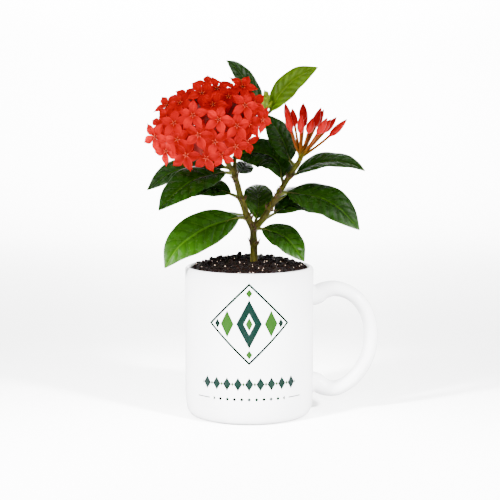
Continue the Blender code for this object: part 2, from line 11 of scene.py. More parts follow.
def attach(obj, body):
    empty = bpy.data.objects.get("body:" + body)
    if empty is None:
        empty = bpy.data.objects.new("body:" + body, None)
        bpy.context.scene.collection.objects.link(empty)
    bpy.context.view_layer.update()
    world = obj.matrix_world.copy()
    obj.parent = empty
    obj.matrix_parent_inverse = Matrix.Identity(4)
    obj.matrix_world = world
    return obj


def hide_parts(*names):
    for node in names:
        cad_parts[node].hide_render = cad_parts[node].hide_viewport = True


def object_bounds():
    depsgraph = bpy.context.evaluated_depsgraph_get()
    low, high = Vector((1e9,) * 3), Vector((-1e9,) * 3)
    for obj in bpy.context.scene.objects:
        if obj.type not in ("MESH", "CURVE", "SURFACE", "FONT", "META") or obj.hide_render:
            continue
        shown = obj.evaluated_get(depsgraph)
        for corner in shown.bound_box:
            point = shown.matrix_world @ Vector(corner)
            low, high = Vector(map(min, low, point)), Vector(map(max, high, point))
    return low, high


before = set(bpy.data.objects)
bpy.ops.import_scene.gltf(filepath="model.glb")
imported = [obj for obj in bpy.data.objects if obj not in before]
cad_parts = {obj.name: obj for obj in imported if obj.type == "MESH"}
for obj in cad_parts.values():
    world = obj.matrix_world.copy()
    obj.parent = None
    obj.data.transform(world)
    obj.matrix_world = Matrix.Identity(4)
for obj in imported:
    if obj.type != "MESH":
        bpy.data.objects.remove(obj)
cad_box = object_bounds()

MM = 0.001
GOLDEN_ANGLE = math.pi * (3 - math.sqrt(5))

# Mug, as in the CAD
MUG_RADIUS = 0.041
MUG_HEIGHT = 0.095
MUG_WALL = 0.0034
MUG_FLOOR = 0.006
MUG_SIDES = 160
HANDLE_DEPTH = 0.0105
HANDLE_BAND = 0.009
FOOT_RISE = 0.015
RIM_DROP = 0.006
HANDLE_SUNK = 0.0016

# Green print on the mug: how far round it reaches, its heights and the sizes of its parts
PRINT_HALF_WIDTH = 0.036
PRINT_MIDDLE = 0.064
PRINT_FRAME = (0.025, 0.0245)
FRAME_HALF_LINE = 0.00075
BAND_HEIGHT = PRINT_MIDDLE - 0.0375
BAND_PITCH = 0.007
BAND_HALF_WIDTH = 0.0315
RULE_HEIGHT = BAND_HEIGHT - 0.0095
DOT_PITCH = 0.0046
DOTS_HALF_WIDTH = 0.0233

# Soil
SOIL_RADIUS = MUG_RADIUS - MUG_WALL - 0.0003
SOIL_LEVEL = 0.0942
TRUNK_X = 0.003
TRUNK_RADIUS = 0.0025
TRUNK_HOLE = 0.0027
CRUMBS = 620
LARGE_CRUMBS = 18
PERLITE_GRAINS = 70

# Leaves
LEAF_THICKNESS = 0.00055
PETIOLE_RADIUS = 0.0009
LEAF_ROWS = 92
LEAF_COLUMNS = 32

# Flower head
FLORETS = 41
HEAD_CENTRE = Vector((-0.0252, -0.02, 0.1855))
HEAD_RADII = Vector((0.0325, 0.0255, 0.0225))
HEAD_TILT = math.radians(-20)
HEAD_AXIS = Vector((-0.1, -0.72, 0.6)).normalized()
HEAD_SPREAD = math.radians(122)
HEAD_PHASE = 5.7
HEAD_FACING = Vector((-0.04, -1.05, 0.24))
HEAD_ROOT = Vector((-0.0178, -0.009, 0.1715))
PETALS = 5
PETAL_LENGTH = 0.0104
PETAL_HALF_WIDTH = 0.0027
PETAL_THICKNESS = 0.0003
PETAL_ROWS = 12
PETAL_COLUMNS = 8
PETAL_LIGHT_STEPS = 6
# Inner florets: a dark red layer deeper in the head that is painted shade between the outer florets
INNER_FLORETS = 34
INNER_DEPTH = (0.68, 0.84)
TUBE_FOOT = HEAD_ROOT.lerp(HEAD_CENTRE, 0.4)

# Bud cluster and shoot tip
BUDS = 14
BUD_ROOT = Vector((0.0324, -0.0048, 0.1646))
BUD_AXIS = Vector((0.24, -0.16, 1.0)).normalized()
BUD_SPREAD = math.radians(47)
HUB_RADIUS = 0.0019
SHOOT_ROOT = Vector((0.0107, 0.012, 0.193))
SHOOT_SCALES = 11

# Woody parts
STEM_SIDES = 24
STEM_VOXEL = 0.0004
BARK_ROUGHNESS = 0.00022
STIPULES = 5

# Branches in millimetres: the radius at the start and at the end, and points along the middle
BRANCHES = [
    (2.3, 1.7, [(2.5, 0, 119), (-1, -1, 126), (-5, -3, 138), (-9, -4, 152), (-14, -6.5, 162),
                (-17.9, -10.4, 171)]),
    (2.2, 1.7, [(2.5, 0, 119), (8, -1, 124), (13, -2, 132), (19, -3, 142), (25, -4, 152),
                (29.2, -4.2, 158.4), (31.9, -4.8, 162.4)]),
    (1.5, 1.1, [(-9, -4, 152), (-9.3, -1, 158), (-8.5, 5, 166), (-4, 10, 176), (4, 12, 185),
                (10.2, 12, 191.4)]),
]

# Nodes where leaves leave the wood: centre in millimetres, the wood's radius there, and the wood's direction
NODES = [((-1, -1, 126), 2.2, (-4, -2, 12)), ((-5, -3, 138), 2.1, (-4, -1, 14)),
         ((-9, -4, 152), 2.0, (-4, -1, 12)), ((13, -2, 132), 2.0, (6, -1, 10)),
         ((19, -3, 142), 1.9, (6, -1, 10)), ((25, -4, 152), 1.8, (5, 0, 9)),
         ((3, 0, 119), 2.5, (0, 0, 1)), ((3, 0, 109), 2.4, (0, 0, 1))]

# Dry points left on the trunk: foot and tip in millimetres
SPIKES = [((0.9, -0.8, 110.4), (-0.9, -1.6, 113.4)), ((5.2, -0.8, 109.6), (7.2, -1.4, 112.8)),
          ((3.4, -1.8, 119.4), (3.0, -3.4, 123.6)), ((1.8, -1.6, 120.2), (1.0, -3.0, 123.4)),
          ((1.7, -2.0, 125.6), (2.6, -3.4, 129.6)), ((17.6, -4.0, 138.6), (15.4, -5.0, 142.6)),
          ((19.9, -4.2, 143.2), (18.6, -5.4, 147.0)), ((-7.6, -5.0, 148.4), (-11.0, -6.2, 149.6))]

# Leaves: half width in millimetres, fold in degrees, tone, the way the upper side looks, and points along
# the midrib in millimetres, from the middle of the branch to the tip
# The dark and shaded tones are painted shade: darker copies of the green for the leaves that sit behind or
# under others.
LEAVES = {
    "leaf_low_left": (13.0, 12, "bright", (0.14, -0.8, 0.65), [
        (-1, -1, 126), (-7, -3, 126), (-25, -9, 121), (-36, -13, 115), (-45, -18, 108),
        (-52.5, -22.5, 96.5)]),
    "leaf_low_right": (10.5, 12, "middle", (0.25, -0.68, 0.66), [
        (3, 0, 119), (8, -3, 119), (19, -7, 116), (26, -10, 111), (34.5, -14, 99.5)]),
    "leaf_mid_left_front": (12.0, 14, "middle", (-0.1, -0.64, 0.76), [
        (-10, -4, 154), (-15, -7, 155), (-32, -16, 152), (-42, -22, 146), (-49, -26, 140),
        (-55.5, -30, 133)]),
    "leaf_mid_left_back": (11.5, 14, "middle", (-0.1, -0.55, 0.83), [
        (-11, -4, 157), (-16, 0, 158), (-31, 2, 158), (-50, 1, 154), (-64.5, -2, 143.5)]),
    "leaf_mid_left_under": (10.5, 14, "dark", (-0.1, -0.55, 0.83), [
        (-5, -3, 138), (-12, 1, 141), (-25, 5, 145), (-38, 7, 144), (-52, 5, 135)]),
    "leaf_centre": (9.5, 26, "creased", (0.05, -0.8, 0.6), [
        (3.5, 0, 121), (4.5, 2.5, 125), (5.4, 4.5, 129), (6, 7, 133), (5.8, 13, 138), (5.4, 20, 142.5),
        (4.5, 27, 145)]),
    "leaf_mid_right": (13.0, 12, "middle", (0.15, -0.7, 0.7), [
        (19, -3, 142), (24, -5, 142), (36, -9, 141), (45, -13, 139), (56, -17, 133), (68.5, -21, 120)]),
    "leaf_mid_right_back": (10.0, 14, "dark", (0.05, -0.5, 0.87), [
        (8, -1, 124), (16, 5, 128), (27, 9, 134), (39, 12, 133), (53, 12, 126)]),
    "leaf_top_right": (10.0, 20, "middle", (0.05, -0.44, 0.9), [
        (25, -4, 152), (30, -2, 154), (42, -3, 160), (55, -5, 161.5), (65, -7, 159.5), (72.5, -9, 156)]),
    "leaf_centre_back": (11.5, 14, "dark", (0.12, -0.84, 0.54), [
        (22, -3.5, 147), (20.5, 0, 151), (19, 5, 159), (12, 11, 165), (0, 15, 166.5), (-11, 18, 163)]),
    "leaf_behind_buds": (9.0, 10, "dark", (0.3, -0.85, 0.4), [
        (29, -4, 158.5), (26, 2, 162), (22, 8, 173), (17, 12, 182), (10, 15, 191)]),
    "leaf_behind_head": (6.0, 14, "shaded", (0.25, -0.6, 0.78), [
        (-9.2, -1.5, 156), (-7.5, 4, 154.5), (-5, 11, 155.5), (-2, 19, 158), (0, 28, 159)]),
    "leaf_top_left": (8.6, 12, "middle", (0.7, -0.66, 0.28), [
        (8, 12, 189), (6.5, 16, 195), (2, 18.5, 206), (-6.5, 18, 218), (-14.5, 15, 225)]),
    "leaf_top_right_up": (9.0, 12, "young", (-0.45, -0.78, 0.43), [
        (10, 12, 190), (13.5, 13.5, 193), (19, 13, 202.5), (29, 11, 213), (43.3, 6, 220.5)]),
    "leaf_back_low": (11.0, 14, "middle", (0.05, 0.2, 0.97), [
        (-1, -1, 127), (-3, 6, 127), (-14, 20, 126), (-27, 36, 120), (-38, 50, 109)]),
    "leaf_back_right": (11.0, 14, "middle", (0.0, 0.3, 0.95), [
        (14, -2, 134), (20, 5.5, 138), (30, 20, 143), (39, 37, 141), (46, 53, 132)]),
    "leaf_back_left": (11.0, 14, "middle", (0.0, 0.3, 0.95), [
        (-14, -6, 161), (-15, 1, 164), (-20, 18, 169), (-27, 36, 166), (-33, 52, 156)]),
    "leaf_back_top": (10.5, 14, "middle", (0.0, 0.35, 0.93), [
        (-3, 11.3, 178), (-5, 17, 182), (-12, 32, 188), (-18, 48, 186), (-22, 62, 176)]),
}
# Shares of a blade's length, and the share of its half width reached there
LEAF_STATIONS = [0.0, 0.07, 0.17, 0.29, 0.42, 0.55, 0.68, 0.8, 0.91, 1.0]
LEAF_OUTLINE = [0.1, 0.42, 0.72, 0.92, 1.0, 0.97, 0.84, 0.61, 0.31, 0.03]
YOUNG = ("leaf_top_left", "leaf_top_right_up")
VEIN_PAIRS = 8

# Upper colour, lower colour, vein colour and upper shine of each tone of leaf
# The dark and shaded tones are painted shade, darker copies of the green for leaves behind or under others.
LEAF_TONES = {
    "dark": ((0.0032, 0.014, 0.0002), (0.012, 0.03, 0.002), (0.011, 0.036, 0.001), 0.08),
    "shaded": ((0.0036, 0.013, 0.0002), (0.012, 0.03, 0.002), (0.01, 0.028, 0.001), 0.03),
    "middle": ((0.0044, 0.019, 0.0002), (0.016, 0.038, 0.002), (0.018, 0.052, 0.001), 0.09),
    "bright": ((0.005, 0.0205, 0.0002), (0.018, 0.044, 0.002), (0.021, 0.058, 0.001), 0.09),
    "young": ((0.037, 0.076, 0.0002), (0.045, 0.08, 0.002), (0.072, 0.13, 0.001), 0.05),
    "creased": ((0.009, 0.025, 0.001), (0.014, 0.036, 0.002), (0.018, 0.042, 0.003), 0.09),
}

# The two colours of the painted light on the lower part of the creased leaf, below its bend
PAINTED_LIGHT_BASE = ((0.012, 0.042, 0.0004), (0.018, 0.062, 0.0008))

# Stage: grey cards out of view that keep the low lights off the plant, as two floor points and two heights
CARDS = {
    "card_right": ((0.46, -0.32), (0.32, -0.46), 0.322, 0.41),
    "card_left": ((-0.46, -0.32), (-0.32, -0.46), 0.322, 0.41),
    "card_front": ((-0.16, -0.75), (0.16, -0.75), 0.285, 0.365),
}

# Area lights: place, aim, size, power and spread in degrees
LIGHTS = {
    "left": ((-0.8, -0.45, 0.8), (0, 0, 0.14), (0.34, 0.34), 15.0, 180),
    "right": ((0.7, -0.3, 0.85), (0, 0, 0.1), (0.3, 0.3), 10.0, 180),
    "front": ((-0.15, -1.25, 0.6), (0, 0, 0.12), (0.9, 0.6), 2.0, 180),
    "top": ((0, 0.1, 1.1), (0, 0, 0.1), (0.8, 0.6), 2.0, 180),
    "backdrop": ((0, 0.65, 1.3), (0, 1.35, 0.15), (1.6, 0.3), 90.0, 90),
    "floor_back": ((0, 0.42, 0.75), (0, 0.42, 0), (1.2, 0.3), 4.0, 50),
    "low_right": ((0.62, -0.62, 0.46), (0, 0.02, 0), (0.12, 0.02), 11.0, 60),
    "low_left": ((-0.62, -0.62, 0.46), (0, 0.02, 0), (0.12, 0.02), 13.0, 60),
    "low_front": ((0, -1.3, 0.42), (0, -0.1, 0), (0.3, 0.06), 4.0, 60),
}
SKY_STRENGTH = 0.4

# Camera, fitted to the photo
CAMERA_PLACE = (0.0005, -0.9, 0.21)
CAMERA_TILT = math.radians(6.65)
CAMERA_LENS = 102.5


def link(item):
    bpy.context.scene.collection.objects.link(item)
    return item


def put(item, **settings):
    """Set properties of an item and return it."""
    for key, value in settings.items():
        setattr(item, key, value)
    return item


def add_mesh(name, verts, faces, materials, slots=None, blade_map=None):
    """A smooth mesh object; slots holds a material number per face and blade_map a UV per vertex."""
    mesh = bpy.data.meshes.new(name)
    mesh.from_pydata([tuple(v) for v in verts], [], faces)
    for item in materials:
        mesh.materials.append(item)
    mesh.polygons.foreach_set("use_smooth", [True] * len(mesh.polygons))
    if slots:
        mesh.polygons.foreach_set("material_index", slots)
    if blade_map:
        layer = mesh.uv_layers.new(name="blade")
        for loop in mesh.loops:
            layer.data[loop.index].uv = blade_map[loop.vertex_index]
    return link(bpy.data.objects.new(name, mesh))


def finish_piece(item, slot_name, *nodes):
    """Keep a finished piece inside the solids' box and hand it to the frame."""
    low, high = cad_box
    for vert in item.data.vertices:
        vert.co = [min(max(value, a), b) for value, a, b in zip(vert.co, low, high)]
    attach(item, "root")
    if nodes:
        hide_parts(*nodes)


def bake(item):
    """Replace an object's mesh with what its modifiers make of it."""
    graph = bpy.context.evaluated_depsgraph_get()
    made = bpy.data.meshes.new_from_object(item.evaluated_get(graph))
    item.modifiers.clear()
    item.data = made
    made.polygons.foreach_set("use_smooth", [True] * len(made.polygons))
    return made


def recalculate(item):
    """Turn all faces of a mesh outwards."""
    work = bmesh.new()
    work.from_mesh(item.data)
    bmesh.ops.recalc_face_normals(work, faces=work.faces)
    work.to_mesh(item.data)
    work.free()


def spline(points, count):
    """Evenly spaced points on a smooth curve through the given ones."""
    points = [Vector(p) for p in points]
    ends = [points[0] * 2 - points[1]] + points + [points[-1] * 2 - points[-2]]
    fine = []
    for a, b, c, d in zip(ends, ends[1:], ends[2:], ends[3:]):
        for step in range(16):
            t = step / 16
            fine.append(0.5 * (2 * b + (c - a) * t + (2 * a - 5 * b + 4 * c - d) * t ** 2
                               + (3 * b - a - 3 * c + d) * t ** 3))
    fine.append(points[-1])
    lengths = [0.0]
    for a, b in zip(fine, fine[1:]):
        lengths.append(lengths[-1] + (b - a).length)
    result = []
    at = 0
    for step in range(count):
        goal = lengths[-1] * step / (count - 1)
        while at < len(lengths) - 2 and lengths[at + 1] < goal:
            at += 1
        share = (goal - lengths[at]) / (lengths[at + 1] - lengths[at])
        result.append(fine[at].lerp(fine[at + 1], min(max(share, 0.0), 1.0)))
    return result


def in_metres(points):
    """Vectors in metres from points in millimetres."""
    return [Vector(p) * MM for p in points]


def tangents(path):
    """The direction of a path at each of its points."""
    last = len(path) - 1
    return [(path[min(i + 1, last)] - path[max(i - 1, 0)]).normalized() for i in range(last + 1)]


def along_list(items, share):
    """The value at a share of a list of numbers or vectors, between its neighbours."""
    at = min(max(share, 0.0), 1.0) * (len(items) - 1)
    low = min(int(at), len(items) - 2)
    return items[low] + (items[low + 1] - items[low]) * (at - low)


def smooth_value(stations, values, at):
    """A smooth curve through values that stand at uneven stations."""
    last = len(stations) - 1
    k = max(i for i in range(last) if stations[i] <= at or i == 0)

    def slope(i):
        low, high = max(i - 1, 0), min(i + 1, last)
        return (values[high] - values[low]) / (stations[high] - stations[low])

    width = stations[k + 1] - stations[k]
    t = (at - stations[k]) / width
    return ((2 * t ** 3 - 3 * t ** 2 + 1) * values[k] + (t ** 3 - 2 * t ** 2 + t) * width * slope(k)
            + (3 * t ** 2 - 2 * t ** 3) * values[k + 1] + (t ** 3 - t ** 2) * width * slope(k + 1))


def cap_directions(count, axis, spread, phase=0.0):
    """Directions spread evenly over a cap by the golden angle."""
    turn = Vector((0, 0, 1)).rotation_difference(axis)
    for k in range(count):
        up = 1 - (1 - math.cos(spread)) * (k + 0.5) / count
        flat = math.sqrt(1 - up * up)
        a = k * GOLDEN_ANGLE + phase
        yield turn @ Vector((flat * math.cos(a), flat * math.sin(a), up))


class Shape:
    """Vertices, faces, face materials and blade coordinates that grow piece by piece."""

    def __init__(self):
        self.verts, self.faces, self.slots, self.blade = [], [], [], []

    def add(self, verts, faces, slot=0, blade=(0.5, 0.5)):
        """Join a part on; slot is one number or one per face, blade one pair or one per vertex."""
        base = len(self.verts)
        self.verts += verts
        self.faces += [tuple(base + i for i in face) for face in faces]
        self.slots += slot if isinstance(slot, list) else [slot] * len(faces)
        self.blade += blade if isinstance(blade, list) else [blade] * len(verts)

    def make(self, name, materials):
        return add_mesh(name, self.verts, self.faces, materials, self.slots, self.blade)

    def finish(self, name, materials, slot_name, *nodes):
        finish_piece(self.make(name, materials), slot_name, *nodes)


def ring(sides):
    """The angle of each of the points of a ring."""
    return [2 * math.pi * i / sides for i in range(sides)]


def circle(radius, height, sides):
    """Points of a level circle round the mug's axis."""
    return [Vector((radius * math.cos(a), radius * math.sin(a), height)) for a in ring(sides)]


def tube_faces(rows, sides):
    """Faces between rings of vertices, closed at both ends."""
    faces = []
    for row in range(rows - 1):
        for i in range(sides):
            a, j = row * sides, (i + 1) % sides
            faces.append((a + i, a + j, a + sides + j, a + sides + i))
    faces.append(tuple(reversed(range(sides))))
    faces.append(tuple((rows - 1) * sides + i for i in range(sides)))
    return faces


def tube(path, radii, sides):
    """Vertices and faces of a round tube along a path, closed at both ends, without twist."""
    verts = []
    for point, across, other, radius in zip(path, *frames(path), radii):
        verts += [point + radius * (math.cos(a) * across + math.sin(a) * other) for a in ring(sides)]
    return verts, tube_faces(len(path), sides)


def frames(path):
    """Two lists of directions square to a path that don't twist along it."""
    firsts, seconds = [], []
    across = None
    for along in tangents(path):
        across = across or along.orthogonal().normalized()
        across = (across - along * across.dot(along)).normalized()
        firsts.append(across)
        seconds.append(along.cross(across))
    return firsts, seconds


def sheet_faces(rows, columns, flip=False):
    """Faces of a thin sheet: its upper grid, the lower grid that follows it in the list, and the rim."""
    wide = columns + 1
    count = wide * (rows + 1)
    faces = []
    for row in range(rows):
        for column in range(columns):
            a = row * wide + column
            upper = (a, a + 1, a + wide + 1, a + wide)
            lower = (count + a, count + a + wide, count + a + wide + 1, count + a + 1)
            faces += [(f[0], f[3], f[2], f[1]) if flip else f for f in (upper, lower)]
    rim = [row * wide for row in range(rows, -1, -1)] + list(range(1, wide))
    rim += [row * wide + columns for row in range(1, rows + 1)] + list(range(count - 2, count - wide, -1))
    for a, b in zip(rim, rim[1:] + rim[:1]):
        faces.append((b, a, count + a, count + b) if flip else (a, b, count + b, count + a))
    return faces


def ball(level, radius):
    """Vertices and faces of a ball made of even triangles."""
    work = bmesh.new()
    bmesh.ops.create_icosphere(work, subdivisions=level, radius=radius)
    verts = [vert.co.copy() for vert in work.verts]
    faces = [tuple(vert.index for vert in face.verts) for face in work.faces]
    work.free()
    return verts, faces


def blob(centre, radius, draw, rough, level):
    """A small uneven lump."""
    seed = Vector([draw.uniform(0, 50) for _ in range(3)])
    turn = Matrix.Rotation(draw.uniform(0, 2 * math.pi), 3, Vector([draw.gauss(0, 1) for _ in range(3)]))
    stretch = Vector([draw.uniform(1 - rough, 1 + rough) for _ in range(3)])
    verts, faces = ball(level, radius)
    swells = [1 + rough * noise.noise(v / radius * 1.4 + seed) for v in verts]
    return [centre + turn @ (v * stretch) * swell for v, swell in zip(verts, swells)], faces


class Nodes:
    """Short calls for building a material's node tree."""

    def __init__(self, name):
        self.material = bpy.data.materials.new(name)
        self.material.use_nodes = True
        self.tree = self.material.node_tree
        self.shader = self.tree.nodes["Principled BSDF"]

    def new(self, kind, inputs=None, **settings):
        """A node with its settings and inputs, each input given by name or number."""
        node = put(self.tree.nodes.new(kind), **settings)
        self.wire(node, inputs or {})
        return node

    def wire(self, node, inputs):
        """Link sockets to inputs, or set them to numbers and colours."""
        for key, value in inputs.items():
            if isinstance(value, bpy.types.NodeSocket):
                self.tree.links.new(value, node.inputs[key])
            else:
                node.inputs[key].default_value = (*value, 1.0) if isinstance(value, tuple) else value

    def math(self, operation, *values):
        return self.new("ShaderNodeMath", dict(enumerate(values)), operation=operation).outputs[0]

    add = partialmethod(math, "ADD")
    sub = partialmethod(math, "SUBTRACT")
    mul = partialmethod(math, "MULTIPLY")
    div = partialmethod(math, "DIVIDE")
    abs = partialmethod(math, "ABSOLUTE")
    below = partialmethod(math, "LESS_THAN")

    def position(self):
        return self.new("ShaderNodeTexCoord").outputs["Object"]

    def blade(self):
        """The map that petals and leaves carry."""
        return self.new("ShaderNodeUVMap", uv_map="blade").outputs[0]

    def split(self, value):
        """The three parts of a vector."""
        return self.new("ShaderNodeSeparateXYZ", {0: value}).outputs

    def noise(self, scale, detail=3.0, roughness=0.5, at=None):
        return self.new("ShaderNodeTexNoise", {"Vector": at or self.position(), "Scale": scale,
                                               "Detail": detail, "Roughness": roughness}).outputs[0]

    def step(self, value, low, high, start=0.0, end=1.0):
        """start below low, end above high, and smooth between."""
        return self.new("ShaderNodeMapRange", dict(enumerate((value, low, high, start, end))),
                        interpolation_type="SMOOTHSTEP").outputs[0]

    def mix(self, share, first, second):
        """A mix of two colours; inputs 6 and 7 of the node are its colours."""
        return self.new("ShaderNodeMix", {0: share, 6: first, 7: second}, data_type="RGBA").outputs[2]

    def surface(self, colour, roughness, specular, height=None, depth=0.0):
        """Set colour, roughness, specular level and relief, and return the finished material."""
        looks = {"Base Color": colour, "Roughness": roughness, "Specular IOR Level": specular}
        if height:
            looks["Normal"] = self.new("ShaderNodeBump", {"Distance": depth, "Height": height}).outputs[0]
        self.wire(self.shader, looks)
        return self.material


def speckled(name, scale, first, second, roughness, specular, fine, depth):
    """A material mottled between two colours, with a relief of the given scale and depth."""
    n = Nodes(name)
    return n.surface(n.mix(n.noise(scale), first, second), roughness, specular, n.noise(fine), depth)


def glaze_material():
    """White gloss glaze with a green geometric print on the front: a large lozenge frame over a band."""
    n = Nodes("white_glaze")
    x, y, z = n.split(n.position())
    around = n.mul(n.math("ARCTAN2", x, n.mul(y, -1.0)), MUG_RADIUS)
    aside = n.abs(around)
    front = n.below(aside, PRINT_HALF_WIDTH)
    outside = n.math("GREATER_THAN", n.add(n.mul(x, x), n.mul(y, y)), (MUG_RADIUS - 0.0012) ** 2)

    def inside(distance):
        return n.step(distance, -0.00012, 0.00012, 1.0, 0.0)

    def lozenge(height, half_wide, half_high, at=0.0, pitch=None):
        """Distance outside a lozenge; with a pitch it repeats round the mug."""
        if pitch:
            cell = n.math("PINGPONG", n.add(around, at), pitch / 2)
        else:
            cell = n.abs(n.sub(aside, at))
        far = n.add(n.div(cell, half_wide), n.div(n.abs(n.sub(z, height)), half_high))
        return n.mul(n.sub(far, 1.0), min(half_wide, half_high) * 0.8)

    def repeated(height, half_wide, half_high, at, pitch, limit):
        return n.mul(inside(lozenge(height, half_wide, half_high, at, pitch)), n.below(aside, limit))

    def rule(height, half, start):
        high = n.sub(n.abs(n.sub(z, height)), half)
        return n.mul(inside(high), n.math("GREATER_THAN", aside, start))

    def all_of(items):
        total = items[0]
        for item in items[1:]:
            total = n.math("MAXIMUM", total, item)
        return total

    frame_line = n.sub(n.abs(lozenge(PRINT_MIDDLE, *PRINT_FRAME)), FRAME_HALF_LINE)
    open_centre = n.sub(1.0, inside(lozenge(PRINT_MIDDLE, 0.0034, 0.0066)))
    dark = all_of([
        inside(frame_line),
        repeated(RULE_HEIGHT, 0.0012, 0.0012, 0.0, DOT_PITCH, DOTS_HALF_WIDTH),
        rule(RULE_HEIGHT, 0.0003, 0.0262),
        n.mul(inside(lozenge(PRINT_MIDDLE, 0.008, 0.0152)), open_centre),
        inside(lozenge(PRINT_MIDDLE, 0.0018, 0.003, 0.0203)),
        repeated(BAND_HEIGHT, 0.0027, 0.0042, 0.0, BAND_PITCH, BAND_HALF_WIDTH)])
    light = all_of([
        inside(lozenge(PRINT_MIDDLE, 0.0042, 0.0084, 0.0138)),
        inside(lozenge(PRINT_MIDDLE + 0.019, 0.002, 0.0028)),
        inside(lozenge(PRINT_MIDDLE - 0.019, 0.002, 0.0028)),
        inside(lozenge(PRINT_MIDDLE, 0.0022, 0.0043)),
        repeated(BAND_HEIGHT, 0.0009, 0.0013, BAND_PITCH / 2, BAND_PITCH, BAND_HALF_WIDTH)])
    white = n.mix(n.noise(30.0, 2.0), (0.43, 0.428, 0.434), (0.38, 0.38, 0.388))
    green = n.mix(light, (0.0001, 0.0036, 0.0024), (0.004, 0.017, 0.0014))
    ink = n.mul(n.math("MAXIMUM", dark, light), n.mul(front, outside))
    return n.surface(n.mix(ink, white, green), n.step(n.noise(60.0), 0.3, 0.7, 0.12, 0.2), 0.06,
                     n.noise(45.0, 1.0), 0.00006)


def soil_material():
    n = Nodes("dark_soil")
    coarse = n.noise(420.0, 5.0, 0.65)
    fine = n.noise(1800.0, 4.0, 0.6)
    colour = n.mix(n.step(coarse, 0.44, 0.7), (0.0004, 0.0001, 0.00005), (0.0044, 0.0012, 0.0002))
    colour = n.mix(n.step(fine, 0.6, 0.72), colour, (0.036, 0.011, 0.0026))
    return n.surface(colour, n.step(fine, 0.3, 0.7, 0.6, 0.95), 0.04, fine, 0.0004)


def bark_material():
    n = Nodes("olive_bark")
    stretch = n.new("ShaderNodeMapping", {0: n.position()})
    stretch.inputs["Scale"].default_value = (1.0, 1.0, 0.22)
    streaks = n.noise(700.0, 4.0, 0.6, stretch.outputs[0])
    patches = n.noise(150.0, 3.0, 0.55)
    colour = n.mix(n.step(streaks, 0.3, 0.72), (0.014, 0.0112, 0.0005), (0.04, 0.0345, 0.0024))
    colour = n.mix(n.step(patches, 0.5, 0.66, 0.0, 0.7), colour, (0.028, 0.037, 0.001))
    colour = n.mix(n.step(n.noise(1300.0, 2.0), 0.66, 0.74, 0.0, 0.5), colour, (0.1, 0.086, 0.02))
    return n.surface(colour, n.step(streaks, 0.3, 0.7, 0.45, 0.75), 0.06, streaks, 0.0004)


def leaf_materials(tone):
    """The upper side, the lower side and the stalk of one tone of leaf."""
    upper_colour, lower_colour, vein_colour, upper_shine = LEAF_TONES[tone]
    sides = (("upper", upper_colour, 0.42, (0.2, 0.34), upper_shine, 0.00022),
             ("lower", lower_colour, 0.6, (0.5, 0.62), 0.05, -0.0003))
    made = []
    for side, base, strong, rough, shine, depth in sides:
        n = Nodes(f"leaf_{tone}_{side}")
        along, across, _ = n.split(n.blade())
        off = n.abs(n.sub(across, 0.5))
        vein_at = n.sub(n.mul(along, VEIN_PAIRS), n.mul(n.math("POWER", off, 1.15), 3.0))
        wander = n.mul(n.sub(n.noise(90.0, 2.0), 0.5), 0.35)
        near = n.math("PINGPONG", n.add(vein_at, wander), 0.5)
        vein = n.mul(n.step(near, 0.02, 0.085, 1.0, 0.0), n.step(off, 0.34, 0.49, 1.0, 0.0))
        rib = n.step(off, 0.012, 0.04, 1.0, 0.0)
        net = n.new("ShaderNodeTexVoronoi", {"Vector": n.position(), "Scale": 900.0},
                    feature="DISTANCE_TO_EDGE")
        mesh_lines = n.step(net.outputs[0], 0.02, 0.1, 1.0, 0.0)
        # Painted light: the blade is lighter between the side veins, away from the midrib, where its
        # swellings would catch the light; the cloud adds random tone.
        between = n.mul(n.step(near, 0.05, 0.45), n.step(off, 0.02, 0.16))
        cloud = n.step(n.noise(40.0, 1.0), 0.3, 0.72)
        patches = n.math("MULTIPLY_ADD", between, 0.55, n.mul(cloud, 0.45))
        colour = n.mix(patches, base, tuple(1.95 * c for c in base))
        # Painted light: below the V-shaped bend the creased leaf's upper side is lighter, as where the blade
        # faces the light.
        if tone == "creased" and side == "upper":
            bend = n.sub(along, n.mul(off, 0.55))
            colour = n.mix(n.step(bend, 0.17, 0.21), n.mix(patches, *PAINTED_LIGHT_BASE), colour)
        colour = n.mix(n.mul(mesh_lines, 0.1), colour, vein_colour)
        colour = n.mix(n.mul(vein, strong * 0.62), colour, vein_colour)
        colour = n.mix(n.mul(rib, strong + 0.3), colour, tuple(1.25 * c for c in vein_colour))
        height = n.sub(n.mul(n.noise(500.0, 2.0), 0.25), n.add(n.mul(vein, 0.35), n.mul(mesh_lines, 0.1)))
        made.append(n.surface(colour, n.step(n.noise(240.0, 3.0), 0.3, 0.7, *rough), shine, height, depth))
    made.append(speckled(f"leaf_{tone}_stalk", 300.0, (0.05, 0.058, 0.003), (0.028, 0.036, 0.002), 0.45, 0.2,
                         1200.0, 0.0001))
    return made


def leaf_place(data, seed):
    """A function giving the blade's middle surface point and normal at (share, across)."""
    half_width, fold, _, looks, points = data
    draw = random.Random(seed)
    phase = [draw.uniform(0, 2 * math.pi) for _ in range(4)]
    points = in_metres(points)
    whole = spline(points, 120)
    base = min(range(len(whole)), key=lambda i: (whole[i] - points[1]).length)
    blade = spline(whole[base::3] + ([whole[-1]] if (len(whole) - 1 - base) % 3 else []), 240)
    ways = tangents(blade)
    looks = Vector(looks).normalized()
    slope = math.tan(math.radians(fold))

    def place(share, across):
        centre, along = along_list(blade, share), along_list(ways, share).normalized()
        normal = (looks - along * looks.dot(along)).normalized()
        side = along.cross(normal)
        outline = max(smooth_value(LEAF_STATIONS, LEAF_OUTLINE, share), 0.02)
        reach = half_width * MM * outline
        wave = (0.045 * math.sin(17 * share + phase[0 if across < 0 else 1])
                + 0.006 * math.sin(43 * share + phase[2 if across < 0 else 3]))
        rise = abs(across) * slope - 0.2 * across ** 2 + wave * across ** 2 * outline
        return centre + side * across * reach + normal * reach * rise, normal, reach

    return place, points


